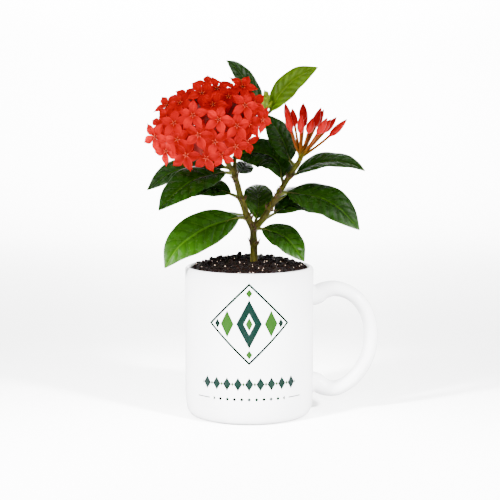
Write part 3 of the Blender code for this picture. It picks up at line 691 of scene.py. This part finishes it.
def leaf_relief(share, across, reach):
    """How far the upper side stands out between the veins and sinks along them."""
    off = abs(across)
    vein_at = share * VEIN_PAIRS - 3 * (off / 2) ** 1.15
    near = abs(vein_at - round(vein_at))
    swell = math.sin(math.pi * min(near * 2, 1.0) / 2) ** 0.8
    fade = max(0.0, 1 - off ** 5) * min(1.0, off * 6) * min(1.0, 8 * share, 7 * (1 - share))
    rib = math.exp(-(off * reach / 0.00055) ** 2) * min(1.0, 5 * (1 - share))
    return 0.00032 * swell * fade - 0.0003 * rib - 0.00008 * fade


def build_leaf(name, data, seed, materials):
    place, points = leaf_place(data, seed)
    shape = Shape()
    upper, lower, blade_map = [], [], []
    for row in range(LEAF_ROWS + 1):
        share = row / LEAF_ROWS
        share += 0.04 * math.sin(2 * math.pi * share) / math.pi
        for column in range(LEAF_COLUMNS + 1):
            across = 2 * column / LEAF_COLUMNS - 1
            point, normal, reach = place(share, across)
            relief = leaf_relief(share, across, reach)
            thick = LEAF_THICKNESS * (1 - 0.72 * abs(across) ** 3)
            lower_rib = 0.0006 * math.exp(-(across * reach / 0.0007) ** 2) * (1 - 0.9 * share)
            upper.append(point + normal * (relief + thick / 2))
            lower.append(point + normal * (relief - thick / 2 - lower_rib))
            blade_map.append((share, 0.5 + across / 2))
    faces = sheet_faces(LEAF_ROWS, LEAF_COLUMNS)
    cells = LEAF_ROWS * LEAF_COLUMNS
    shape.add(upper + lower, faces, [0, 1] * cells + [0] * (len(faces) - 2 * cells), blade_map * 2)
    add_petiole(shape, place, points)
    leaf = shape.make(name + "_fine", materials)
    recalculate(leaf)
    finish_piece(leaf, "young_leaf_green" if name in YOUNG else "leaf_green", name)


def add_petiole(shape, place, points):
    """The stalk from the wood to the blade, running on a little under the midrib."""
    first = points[0].lerp(points[1], 0.25)
    path = [first, points[0].lerp(points[1], 0.65)]
    for share in (0.0, 0.05, 0.11, 0.18):
        point, normal, _ = place(share, 0.0)
        path.append(point - normal * (0.0003 + 0.0014 * share))
    line = spline(path, 22)
    shape.add(*tube(line, [PETIOLE_RADIUS * (1.48 - 0.98 * i / 21) for i in range(22)], 12), 2)


def build_leaves():
    tones = {tone: leaf_materials(tone) for tone in LEAF_TONES}
    for seed, (name, data) in enumerate(LEAVES.items()):
        build_leaf(name, data, seed, tones[data[2]])


def petal_material():
    """Coral to deep red by floret as painted light and shade, darker towards the base as painted shade,
    lighter towards the rim, orange in the throat.
    """
    n = Nodes("petal_red_velvet")
    place, across, _ = n.split(n.blade())
    along = n.math("FRACT", place)
    tone = n.div(n.math("FLOOR", place), PETAL_LIGHT_STEPS - 1)
    off = n.abs(n.sub(across, 0.5))
    rim = n.step(off, 0.3, 0.49)
    grain = n.noise(1400.0, 3.0)
    coral = n.mix(grain, (0.3, 0.0002, 0.001), (0.41, 0.0003, 0.002))
    # Painted light and shade: each floret's step mixes it from the deep red of a shaded copy to the coral of
    # a lit one.
    red = n.mix(tone, n.mix(grain, (0.09, 0.0002, 0.0002), (0.15, 0.0002, 0.0004)), coral)
    # Painted shade: each petal darkens towards its base, where the florets crowd together; the orange throat
    # is laid over it.
    colour = n.mix(n.step(along, 0.1, 0.5, 0.45, 0.0), red, (0.09, 0.0002, 0.0002))
    colour = n.mix(n.mul(rim, 0.3), colour, (0.48, 0.003, 0.005))
    colour = n.mix(n.step(along, 0.78, 1.0, 0.0, 0.22), colour, (0.48, 0.003, 0.005))
    colour = n.mix(n.step(along, 0.02, 0.08, 0.6, 0.0), colour, (0.5, 0.016, 0.001))
    streak = n.new("ShaderNodeTexWave", {"Vector": n.blade(), "Scale": 3.2, "Distortion": 0.8},
                   wave_type="BANDS", bands_direction="Y").outputs["Fac"]
    return n.surface(colour, n.step(grain, 0.3, 0.7, 0.55, 0.7), 0.02, streak, 0.0001)


def add_petal(shape, place, looks, out, side, length, droop, draw, tone, slot):
    """One pointed petal: cupped along its middle, a little curled and drooping to the tip."""
    cup = draw.uniform(0.05, 0.14)
    twist = draw.uniform(-0.22, 0.22)
    curl = draw.uniform(-0.0002, 0.0007)
    upper, lower, blade = [], [], []
    for row in range(PETAL_ROWS + 1):
        u = row / PETAL_ROWS
        bell = math.sin(math.pi * u ** 0.97) ** 1.3 if 0 < u < 1 else 0.0
        half = PETAL_HALF_WIDTH * max(bell, 0.46 * max(0.0, 1 - 1.5 * u), 0.03)
        for column in range(PETAL_COLUMNS + 1):
            v = 2 * column / PETAL_COLUMNS - 1
            rise = (0.0003 * math.sin(math.pi * min(1.0, u * 1.1)) - 0.0004 - droop * u ** 2 - curl * u ** 6
                    + half * (cup * v * v * 2.0 + twist * v * u) - 0.00022 * math.exp(-(v / 0.22) ** 2))
            point = place + out * length * u * (1 - 0.03 * v * v) + side * half * v + looks * rise
            thin = PETAL_THICKNESS * (1 - 0.6 * abs(v) ** 3)
            upper.append(point + looks * thin / 2)
            lower.append(point - looks * thin / 2)
            blade.append((tone + 0.999 * u, 0.5 + v / 2))
    shape.add(upper + lower, sheet_faces(PETAL_ROWS, PETAL_COLUMNS, True), slot, blade * 2)


def add_floret(shape, place, looks, draw, detail, inner=False):
    """Five petals round a throat on a thin tube; the inner ones are dark red as painted shade and have no
    style or anthers.
    """
    across = looks.orthogonal().normalized()
    across.rotate(Matrix.Rotation(draw.uniform(0, 2 * math.pi), 3, looks))
    other = looks.cross(across)
    away = place - HEAD_CENTRE
    # Painted light and shade: florets higher up and further left take the lighter coral, as if lit, and lower
    # ones further right the deeper red, as if shaded, with chance mixed in.
    light = 0.62 + 22 * away.z - 8 * away.x + detail.uniform(-0.35, 0.35)
    tone = round(min(max(light, 0.0), 1.0) * (PETAL_LIGHT_STEPS - 1))
    for a in ring(PETALS):
        out = across * math.cos(a) + other * math.sin(a)
        side = other * math.cos(a) - across * math.sin(a)
        length = PETAL_LENGTH * draw.uniform(0.92, 1.06)
        droop = draw.uniform(-0.0004, 0.0018)
        add_petal(shape, place, looks, out, side, length, droop, detail, tone, 1 if inner else 0)
        if not inner:
            half = math.pi / PETALS
            gap = out * math.cos(half) - side * math.sin(half)
            anther = place + gap * 0.0013 + looks * 0.0002
            path = [anther - gap * 0.0006, anther, anther + gap * 0.0007 + looks * 0.0002]
            shape.add(*tube(path, [0.00012, 0.00024, 0.00009], 6), 2)
    if not inner:
        style = [place - looks * 0.001, place + looks * 0.0006, place + looks * 0.0013 + across * 0.0003]
        shape.add(*tube(spline(style, 6), [0.00016, 0.00014, 0.00014, 0.00016, 0.0002, 0.0001], 6), 2)
    line = [place + looks * 0.0001, place - looks * 0.0022, place.lerp(TUBE_FOOT, 0.55), TUBE_FOOT]
    shape.add(*tube(spline(line, 10), [0.001 - 0.0004 * i / 9 for i in range(10)], 10), 1)


def on_head(way, depth):
    """The point at a share of the head's radius, and the direction that faces straight out there."""
    leaning = Matrix.Rotation(HEAD_TILT, 3, "Y")
    way = leaning.inverted() @ way
    place = HEAD_CENTRE + leaning @ Vector([w * r * depth for w, r in zip(way, HEAD_RADII)])
    return place, (leaning @ Vector([w / r for w, r in zip(way, HEAD_RADII)])).normalized()


def add_inner_florets(shape):
    """A sparser layer deeper in the head, dark red as painted shade between the outer florets."""
    draw, detail = random.Random(60), random.Random(61)
    for way in cap_directions(INNER_FLORETS, HEAD_AXIS, HEAD_SPREAD * 0.92, 1.3):
        place, looks = on_head(way, draw.uniform(*INNER_DEPTH))
        add_floret(shape, place, (looks + 0.8 * HEAD_FACING).normalized(), draw, detail, True)


def build_flower_head():
    draw, detail = random.Random(40), random.Random(41)
    shape = Shape()
    for k, way in enumerate(cap_directions(FLORETS, HEAD_AXIS, HEAD_SPREAD, HEAD_PHASE)):
        place, looks = on_head(way, 1 + 0.08 * ((k % 3) - 1) + draw.uniform(-0.01, 0.01))
        nod = Vector([draw.uniform(-0.25, 0.25) for _ in range(3)])
        add_floret(shape, place, (looks + HEAD_FACING + nod).normalized(), draw, detail)
    add_inner_florets(shape)
    add_core(shape)
    # Dark red for the tubes, and as painted shade for the inner florets and the core
    tubes = speckled("corolla_tube_red_and_painted_shade", 500.0, (0.055, 0.0004, 0.0002), (0.14, 0.0012, 0.0004), 0.5, 0.1,
                     1500.0, 0.0001)
    throats = speckled("anther_orange", 1500.0, (0.46, 0.022, 0.002), (0.56, 0.05, 0.003), 0.55, 0.2,
                       3000.0, 0.00006)
    shape.finish("flower_head_fine", [petal_material(), tubes, throats], "petal_red", "flower_head")


def add_core(shape):
    """The inner ball where the tubes meet, dark red as painted shade in the gaps of the head."""
    middle = HEAD_ROOT.lerp(HEAD_CENTRE, 0.48)
    verts, faces = ball(4, 1.0)
    for vert in verts:
        swell = 0.35 * (1 + 0.16 * noise.noise(vert * 5))
        vert[:] = middle + Vector([v * r * swell for v, r in zip(vert, HEAD_RADII)])
    shape.add(verts, faces, 1)


def bud_materials():
    """The closed buds, and their tubes from green at the foot to red at the top."""
    n = Nodes("bud_red_gloss")
    along = n.split(n.blade())[0]
    grain = n.noise(900.0)
    colour = n.mix(grain, (0.13, 0.0002, 0.0006), (0.23, 0.0004, 0.0012))
    colour = n.mix(n.step(along, 0.62, 1.0, 0.0, 0.6), colour, (0.13, 0.0003, 0.0009))
    bud = n.surface(colour, n.step(grain, 0.3, 0.7, 0.34, 0.46), 0.03, n.noise(1300.0), 0.00008)
    n = Nodes("bud_tube_orange")
    along = n.split(n.blade())[0]
    colour = n.mix(n.noise(700.0), (0.06, 0.011, 0.0006), (0.105, 0.022, 0.0012))
    colour = n.mix(n.step(along, 0.0, 0.6, 1.0, 0.0), colour, (0.04, 0.032, 0.0012))
    colour = n.mix(n.step(along, 0.86, 1.0), colour, (0.14, 0.004, 0.001))
    return [bud, n.surface(colour, 0.5, 0.03, n.noise(1500.0), 0.0001)]


def build_bud_cluster():
    draw = random.Random(5)
    shape = Shape()
    for k, way in enumerate(cap_directions(BUDS, BUD_AXIS, BUD_SPREAD)):
        outer = k / BUDS
        reach = 0.0212 * (1 - 0.12 * outer) * draw.uniform(0.82, 1.08)
        length = draw.uniform(0.0094, 0.011)
        wide = draw.uniform(0.0019, 0.0022)
        lift = BUD_AXIS * 0.0042 * outer

        def spot(along):
            return BUD_ROOT + way * along + lift * (along / reach) ** 2

        steps = 12
        path = [spot(reach * 1.02 * i / steps) for i in range(steps + 1)]
        radii = [0.0011 - 0.0003 * min(1.0, 2 * i / steps) for i in range(steps + 1)]
        verts, faces = tube(path, radii, 10)
        shape.add(verts, faces, 1, [(i // 10 / steps, 0.5) for i in range(len(verts))])
        add_bud(shape, spot, reach, length, wide * 1.14)
        calyx = [spot(reach * share) for share in (0.06, 0.12, 0.2)]
        shape.add(*tube(calyx, [0.0009, 0.0012, 0.00095], 10), 1, (0.0, 0.5))
    neck = [BUD_ROOT - Vector((0.0007, 0, 0.0024)), BUD_ROOT]
    shape.add(*blob(BUD_ROOT, HUB_RADIUS, random.Random(6), 0.12, 3), 1, (0.0, 0.5))
    shape.add(*tube(neck, [0.00165, 0.0018], 16), 1, (0.0, 0.5))
    shape.finish("bud_cluster_fine", bud_materials(), "bud_red", "bud_cluster")


def add_bud(shape, spot, reach, length, wide):
    """A spindle of four folded petals with shallow seams between them."""
    rows, sides = 20, 24
    stations = [0.0, 0.17, 0.45, 0.78, 1.0]
    widths = [0.0008, wide * 0.86, wide, wide * 0.62, 0.00025]
    verts, blade = [], []
    path = [spot(reach + length * row / rows) for row in range(rows + 1)]
    for row, (point, across, other) in enumerate(zip(path, *frames(path))):
        share = row / rows
        radius = max(smooth_value(stations, widths, share), 0.0002)
        for a in ring(sides):
            seam = 1 - 0.06 * math.exp(-(math.sin(2 * a + 0.6 * share) / 0.28) ** 2) * min(1, 3 * share)
            verts.append(point + radius * seam * (math.cos(a) * across + math.sin(a) * other))
            blade.append((share, 0.5))
    shape.add(verts, tube_faces(rows + 1, sides), 0, blade)


def shoot_material():
    n = Nodes("shoot_yellow_green")
    along = n.split(n.blade())[0]
    colour = n.mix(along, (0.045, 0.095, 0.0012), (0.19, 0.25, 0.003))
    return n.surface(n.mix(n.noise(900.0), colour, (0.11, 0.16, 0.002)), 0.45, 0.2, n.noise(1500.0), 0.0001)


def build_shoot_tip():
    draw = random.Random(11)
    shape = Shape()
    core = [SHOOT_ROOT, SHOOT_ROOT + Vector((0, 0, 0.009))]
    shape.add(*tube(core, [0.0013, 0.0008], 16), 0, (0.0, 0.5))
    for k in range(SHOOT_SCALES):
        share = k / (SHOOT_SCALES - 1)
        a = k * GOLDEN_ANGLE
        lean = 0.75 - 0.65 * share
        way = Vector((math.cos(a) * lean, math.sin(a) * lean, 1)).normalized()
        root = SHOOT_ROOT + Vector((0, 0, 0.001 + 0.007 * share))
        length = draw.uniform(0.0055, 0.0075) * (1 - 0.15 * share)
        path = spline([root, root + way * length * 0.45, root + way * length * 0.75, root + way * length], 14)
        radii = [smooth_value([0, 0.45, 0.75, 1.0], [0.0008, 0.0013, 0.0009, 0.0002], i / 13)
                 for i in range(14)]
        verts, faces = tube(path, radii, 14)
        shape.add(verts, faces, 0, [(i // 14 / 13, 0.5) for i in range(len(verts))])
    shape.finish("shoot_tip_fine", [shoot_material()], "shoot_green", "shoot_tip")


def pole_faces(rows, sides, flip=False):
    """Faces of a closed body made of a pole, rings of vertices and another pole."""
    faces = []
    for i in range(sides):
        j = (i + 1) % sides
        faces.append((0, 1 + j, 1 + i))
        for a in range(1, 1 + (rows - 1) * sides, sides):
            faces.append((a + i, a + j, a + sides + j, a + sides + i))
        a = 1 + (rows - 1) * sides
        faces.append((a + i, a + j, a + sides))
    return [(face[0], *reversed(face[1:])) for face in faces] if flip else faces


def rounded(points, count):
    """A smooth run of (radius, height) pairs through the given ones."""
    return [(p.x, p.z) for p in spline([Vector((x, 0, z)) for x, z in points], count)]


def build_mug():
    r, h, inner = MUG_RADIUS, MUG_HEIGHT, MUG_RADIUS - MUG_WALL
    profile = [(0, 0), (0.03, 0)]
    profile += rounded([(0.0303, 0.0002), (0.0306, 0.001), (0.0316, 0.0013), (0.0326, 0.001),
                        (0.0329, 0.0002)], 9)
    profile += [(0.0332, 0)]
    profile += rounded([(0.0352, 0), (0.0374, 0.0006), (0.039, 0.0022), (0.0399, 0.0046),
                        (r - 0.0004, 0.009), (r, FOOT_RISE)], 22)
    profile += [(r, FOOT_RISE + (h - 0.02 - FOOT_RISE) * i / 8) for i in range(1, 9)]
    profile += rounded([(r, h - RIM_DROP), (r, h - 0.0024), (r - 0.0005, h - 0.0008), (r - 0.0018, h),
                        (inner + 0.0006, h - 0.0005), (inner, h - 0.002), (inner, h - RIM_DROP)], 26)
    profile += rounded([(inner, 0.012), (inner - 0.0008, 0.0085), (inner - 0.0028, MUG_FLOOR + 0.0006),
                        (inner - 0.006, MUG_FLOOR)], 10)
    profile.append((0, MUG_FLOOR))
    glaze = glaze_material()
    verts = [Vector((0, 0, 0))]
    for radius, height in profile[1:-1]:
        verts += circle(radius, height, MUG_SIDES)
    verts.append(Vector((0, 0, MUG_FLOOR)))
    body = add_mesh("mug_fine", verts, pole_faces(len(profile) - 2, MUG_SIDES), [glaze])
    loop = build_handle(glaze)
    put(body.modifiers.new("handle", "BOOLEAN"), operation="UNION", solver="MANIFOLD", object=loop)
    bake(body).set_sharp_from_angle(angle=math.radians(50))
    bpy.data.objects.remove(loop, do_unlink=True)
    finish_piece(body, "mug_glaze", "mug")


def build_handle(glaze):
    """The loop, its ends sunk in the mug's wall, before it is joined to the mug."""
    sunk = (MUG_RADIUS - HANDLE_SUNK) / MM
    middle = [(sunk, 76.4), (43.5, 76.8), (48.0, 79.2), (55.0, 80.4), (64.0, 77.6), (71.5, 71.0),
              (76.2, 61.5), (77.9, 50.0), (76.2, 38.0), (71.0, 27.6), (63.5, 19.6), (55.0, 15.6),
              (48.0, 16.6), (43.5, 19.2), (sunk, 19.6)]
    path = spline(in_metres([(x, 0, z) for x, z in middle]), 110)
    sides = 36
    verts = []
    for i, (point, along) in enumerate(zip(path, tangents(path))):
        end = abs(2 * i / (len(path) - 1) - 1) ** 6
        outward = Vector((0, 1, 0)).cross(along).normalized()
        depth = HANDLE_DEPTH * (0.5 + 0.16 * end)
        band = HANDLE_BAND * (0.5 + 0.3 * end)
        verts += [point + outward * band * math.cos(a) + Vector((0, 1, 0)) * depth * math.sin(a)
                  for a in ring(sides)]
    item = add_mesh("handle", verts, tube_faces(len(path), sides), [glaze])
    recalculate(item)
    return item


def soil_height(x, y):
    """Gently heaped ground with lumps; x and y in metres."""
    away = math.hypot(x, y) / SOIL_RADIUS
    lumps = (math.sin(410 * x + 1.3) * math.sin(370 * y + 0.4) + 0.6 * math.sin(830 * x + 700 * y)
             + 0.5 * math.sin(900 * x - 760 * y + 2.0))
    back = 0.0034 * max(y / SOIL_RADIUS + 0.2, 0.0) * (1 - away ** 6)
    return SOIL_LEVEL + 0.0032 * (1 - away ** 2) + back + 0.00045 * lumps * (1 - 0.6 * away ** 4)


def build_soil():
    """The heaped surface with fine roughness, closed down to the mug's floor, and its crumbs."""
    shape = Shape()
    sides, rings = 150, 54
    verts = [Vector((TRUNK_X, 0, 0.09))]
    for k in range(1, rings + 1):
        share = k / rings
        for inner, outer in zip(circle(TRUNK_HOLE, 0, sides), circle(SOIL_RADIUS, 0, sides)):
            point = (inner + Vector((TRUNK_X, 0, 0))).lerp(outer, (k - 1) / (rings - 1))
            rough = noise.fractal(point * 700, 1.0, 2.0, 4) * 0.0006
            drop = 0.0008 * max(0.0, (share - 0.97) / 0.03)
            verts.append(Vector((point.x, point.y, soil_height(point.x, point.y) + rough - drop)))
    for radius, height in ((SOIL_RADIUS, 0.0128), (SOIL_RADIUS - 0.0014, 0.0088),
                           (SOIL_RADIUS - 0.0064, MUG_FLOOR + 0.0003)):
        verts += circle(radius, height, sides)
    verts.append(Vector((0, 0, MUG_FLOOR + 0.0003)))
    shape.add(verts, pole_faces(rings + 3, sides, True))
    draw = random.Random(17)
    for centre, size in crumb_places(random.Random(7), LARGE_CRUMBS, 0.06, 0.74, 0.0011, 0.0019, 0.0065):
        shape.add(*blob(centre, size, draw, 0.28, 2))
    for centre, size in crumb_places(draw, CRUMBS, 0.0, 0.93, 0.0004, 0.0013, 0.0034):
        shape.add(*blob(centre, size, draw, 0.35, 1))
    shape.finish("soil_fine", [soil_material()], "soil", "soil")
    grains = Shape()
    for centre, size in crumb_places(draw, PERLITE_GRAINS, 0.04, 0.92, 0.00018, 0.00048, 0.0045):
        grains.add(*blob(centre + Vector((0, 0, 0.0003)), size, draw, 0.3, 2))
    pale = speckled("perlite", 900.0, (0.12, 0.072, 0.04), (0.6, 0.48, 0.39), 0.85, 0.5, 2500.0, 0.00015)
    grains.finish("perlite_grains", [pale], "soil")


def crumb_places(draw, count, low, high, small, large, clear):
    """Centres and sizes of crumbs that lie half sunk in the surface, clear of the trunk."""
    made = []
    while len(made) < count:
        away = SOIL_RADIUS * math.sqrt(draw.uniform(low, high))
        a = draw.uniform(0, 2 * math.pi)
        x, y = away * math.cos(a), away * math.sin(a)
        if math.hypot(x - TRUNK_X, y) < clear:
            continue
        size = draw.uniform(small, large)
        made.append((Vector((x, y, soil_height(x, y) + 0.15 * size)), size))
    return made


def build_stem():
    """Trunk, branches and collars melted into one body, with stipules at the nodes."""
    x = TRUNK_X / MM
    shape = Shape()
    trunk = spline(in_metres([(x, 0, 55), (x, 0, 75), (x, 0, 97), (x - 0.1, 0, 108),
                              (x - 0.3, 0, 115), (x - 0.5, 0, 121.5)]), 90)
    shape.add(*tube(trunk, [TRUNK_RADIUS * (1.0 - 0.1 * (i / 89) ** 6) for i in range(90)], STEM_SIDES))
    for start, end, points in BRANCHES:
        line = spline(in_metres(points), 80)
        shape.add(*tube(line, [MM * (start + (end - start) * i / 79) for i in range(80)], STEM_SIDES))
    for centre, radius, way in NODES:
        way = Vector(way).normalized()
        middle = Vector(centre) * MM
        path = [middle + way * MM * step for step in (-1.8, -0.9, 0.0, 0.9, 1.8)]
        shape.add(*tube(path, [radius * MM * k for k in (0.9, 1.13, 1.22, 1.13, 0.9)], STEM_SIDES))
    stem = shape.make("stem_fine", [bark_material()])
    put(stem.modifiers.new("melt", "REMESH"), mode="VOXEL", voxel_size=STEM_VOXEL, use_smooth_shade=True)
    put(stem.modifiers.new("even", "SMOOTH"), factor=0.5, iterations=4)
    melted = bake(stem)
    normals = [vert.normal.copy() for vert in melted.vertices]
    for vert, normal in zip(melted.vertices, normals):
        low = Vector((vert.co.x, vert.co.y, vert.co.z * 0.3))
        vert.co += normal * (noise.fractal(low * 1100, 1.0, 2.0, 3) * BARK_ROUGHNESS)
    finish_piece(stem, "stem_bark", "stem")
    build_stipules()


def build_stipules():
    """Small pointed brown scales that clasp the wood at each node."""
    draw = random.Random(21)
    shape = Shape()
    for centre, radius, way in NODES:
        way = Vector(way).normalized()
        across = way.orthogonal().normalized()
        across.rotate(Matrix.Rotation(draw.uniform(0, 2 * math.pi), 3, way))
        for a in ring(STIPULES):
            out = Matrix.Rotation(a + draw.uniform(-0.3, 0.3), 3, way) @ across
            root = Vector(centre) * MM + out * radius * MM * 0.95 + way * draw.uniform(-0.0012, 0.0004)
            length = draw.uniform(0.0016, 0.0034)
            lean = draw.uniform(0.35, 0.95)
            tip = root + way * length + out * length * lean
            bend = root.lerp(tip, 0.5) + out * length * 0.1
            path = spline([root - out * 0.0005, bend, tip], 7)
            radii = [draw.uniform(0.0007, 0.001) * (1 - (i / 6) ** 1.3) + 0.00008 for i in range(7)]
            shape.add(*tube(path, radii, 8))
    for root, tip in map(in_metres, SPIKES):
        path = spline([root, root.lerp(tip, 0.5) - Vector((0, 0, 0.0002)), tip], 8)
        shape.add(*tube(path, [0.0008 * (1 - (i / 7) ** 1.2) + 0.00009 for i in range(8)], 8))
    brown = speckled("stipule_brown", 700.0, (0.008, 0.0028, 0.0005), (0.038, 0.017, 0.0025), 0.6, 0.15,
                     1500.0, 0.0002)
    shape.finish("stipules", [brown], "stem_bark")


def floor_material():
    n = Nodes("pale_floor")
    return n.surface(n.mix(n.noise(4.0), (0.93, 0.93, 0.93), (0.95, 0.95, 0.95)), 0.28, 0.25)


def build_stage():
    """A pale sweep that runs from the floor up behind the object, and the cards that shade the plant."""
    outline = [(-2.2, 0.0), (0.9, 0.0)]
    outline += [(0.9 + 0.6 * math.sin(a), 0.6 - 0.6 * math.cos(a))
                for a in (math.pi / 2 * i / 16 for i in range(1, 17))]
    outline += [(1.5, 2.6)]
    verts = [Vector((x, y, z)) for x in (-3.0, 3.0) for y, z in outline]
    count = len(outline)
    faces = [(i, count + i, count + i + 1, i + 1) for i in range(count - 1)]
    add_mesh("floor", verts, faces, [floor_material()])
    grey = Nodes("grey_card").surface((0.2, 0.2, 0.2), 0.9, 0.5)
    for name, (left, right, low, high) in CARDS.items():
        corners = [Vector((*spot, z)) for spot, z in ((left, low), (right, low), (right, high), (left, high))]
        add_mesh(name, corners, [(0, 1, 2, 3)], [grey])


def build_lights():
    """Lights for the plant and the backdrop, and low ones for the mug and the floor."""
    world = bpy.data.worlds.new("studio")
    world.use_nodes = True
    sky = world.node_tree.nodes["Background"]
    sky.inputs[0].default_value = (1.0, 1.0, 1.0, 1.0)
    sky.inputs[1].default_value = SKY_STRENGTH
    bpy.context.scene.world = world
    for name, (place, aim, size, power, spread) in LIGHTS.items():
        lamp = put(bpy.data.lights.new(name, "AREA"), shape="RECTANGLE", size=size[0], size_y=size[1],
                   energy=power, spread=math.radians(spread))
        turn = (Vector(aim) - Vector(place)).to_track_quat("-Z", "Y").to_euler()
        put(link(bpy.data.objects.new(name, lamp)), location=place, rotation_euler=turn)


def build_camera():
    lens = bpy.data.cameras.new("camera")
    lens.lens = CAMERA_LENS
    lens.sensor_width = 36.0
    camera = link(bpy.data.objects.new("camera", lens))
    camera.location = CAMERA_PLACE
    camera.rotation_euler = (math.pi / 2 - CAMERA_TILT, 0, 0)
    bpy.context.scene.camera = camera


def main():
    build_mug()
    build_soil()
    build_stem()
    build_leaves()
    build_flower_head()
    build_bud_cluster()
    build_shoot_tip()
    build_stage()
    build_lights()
    build_camera()


main()
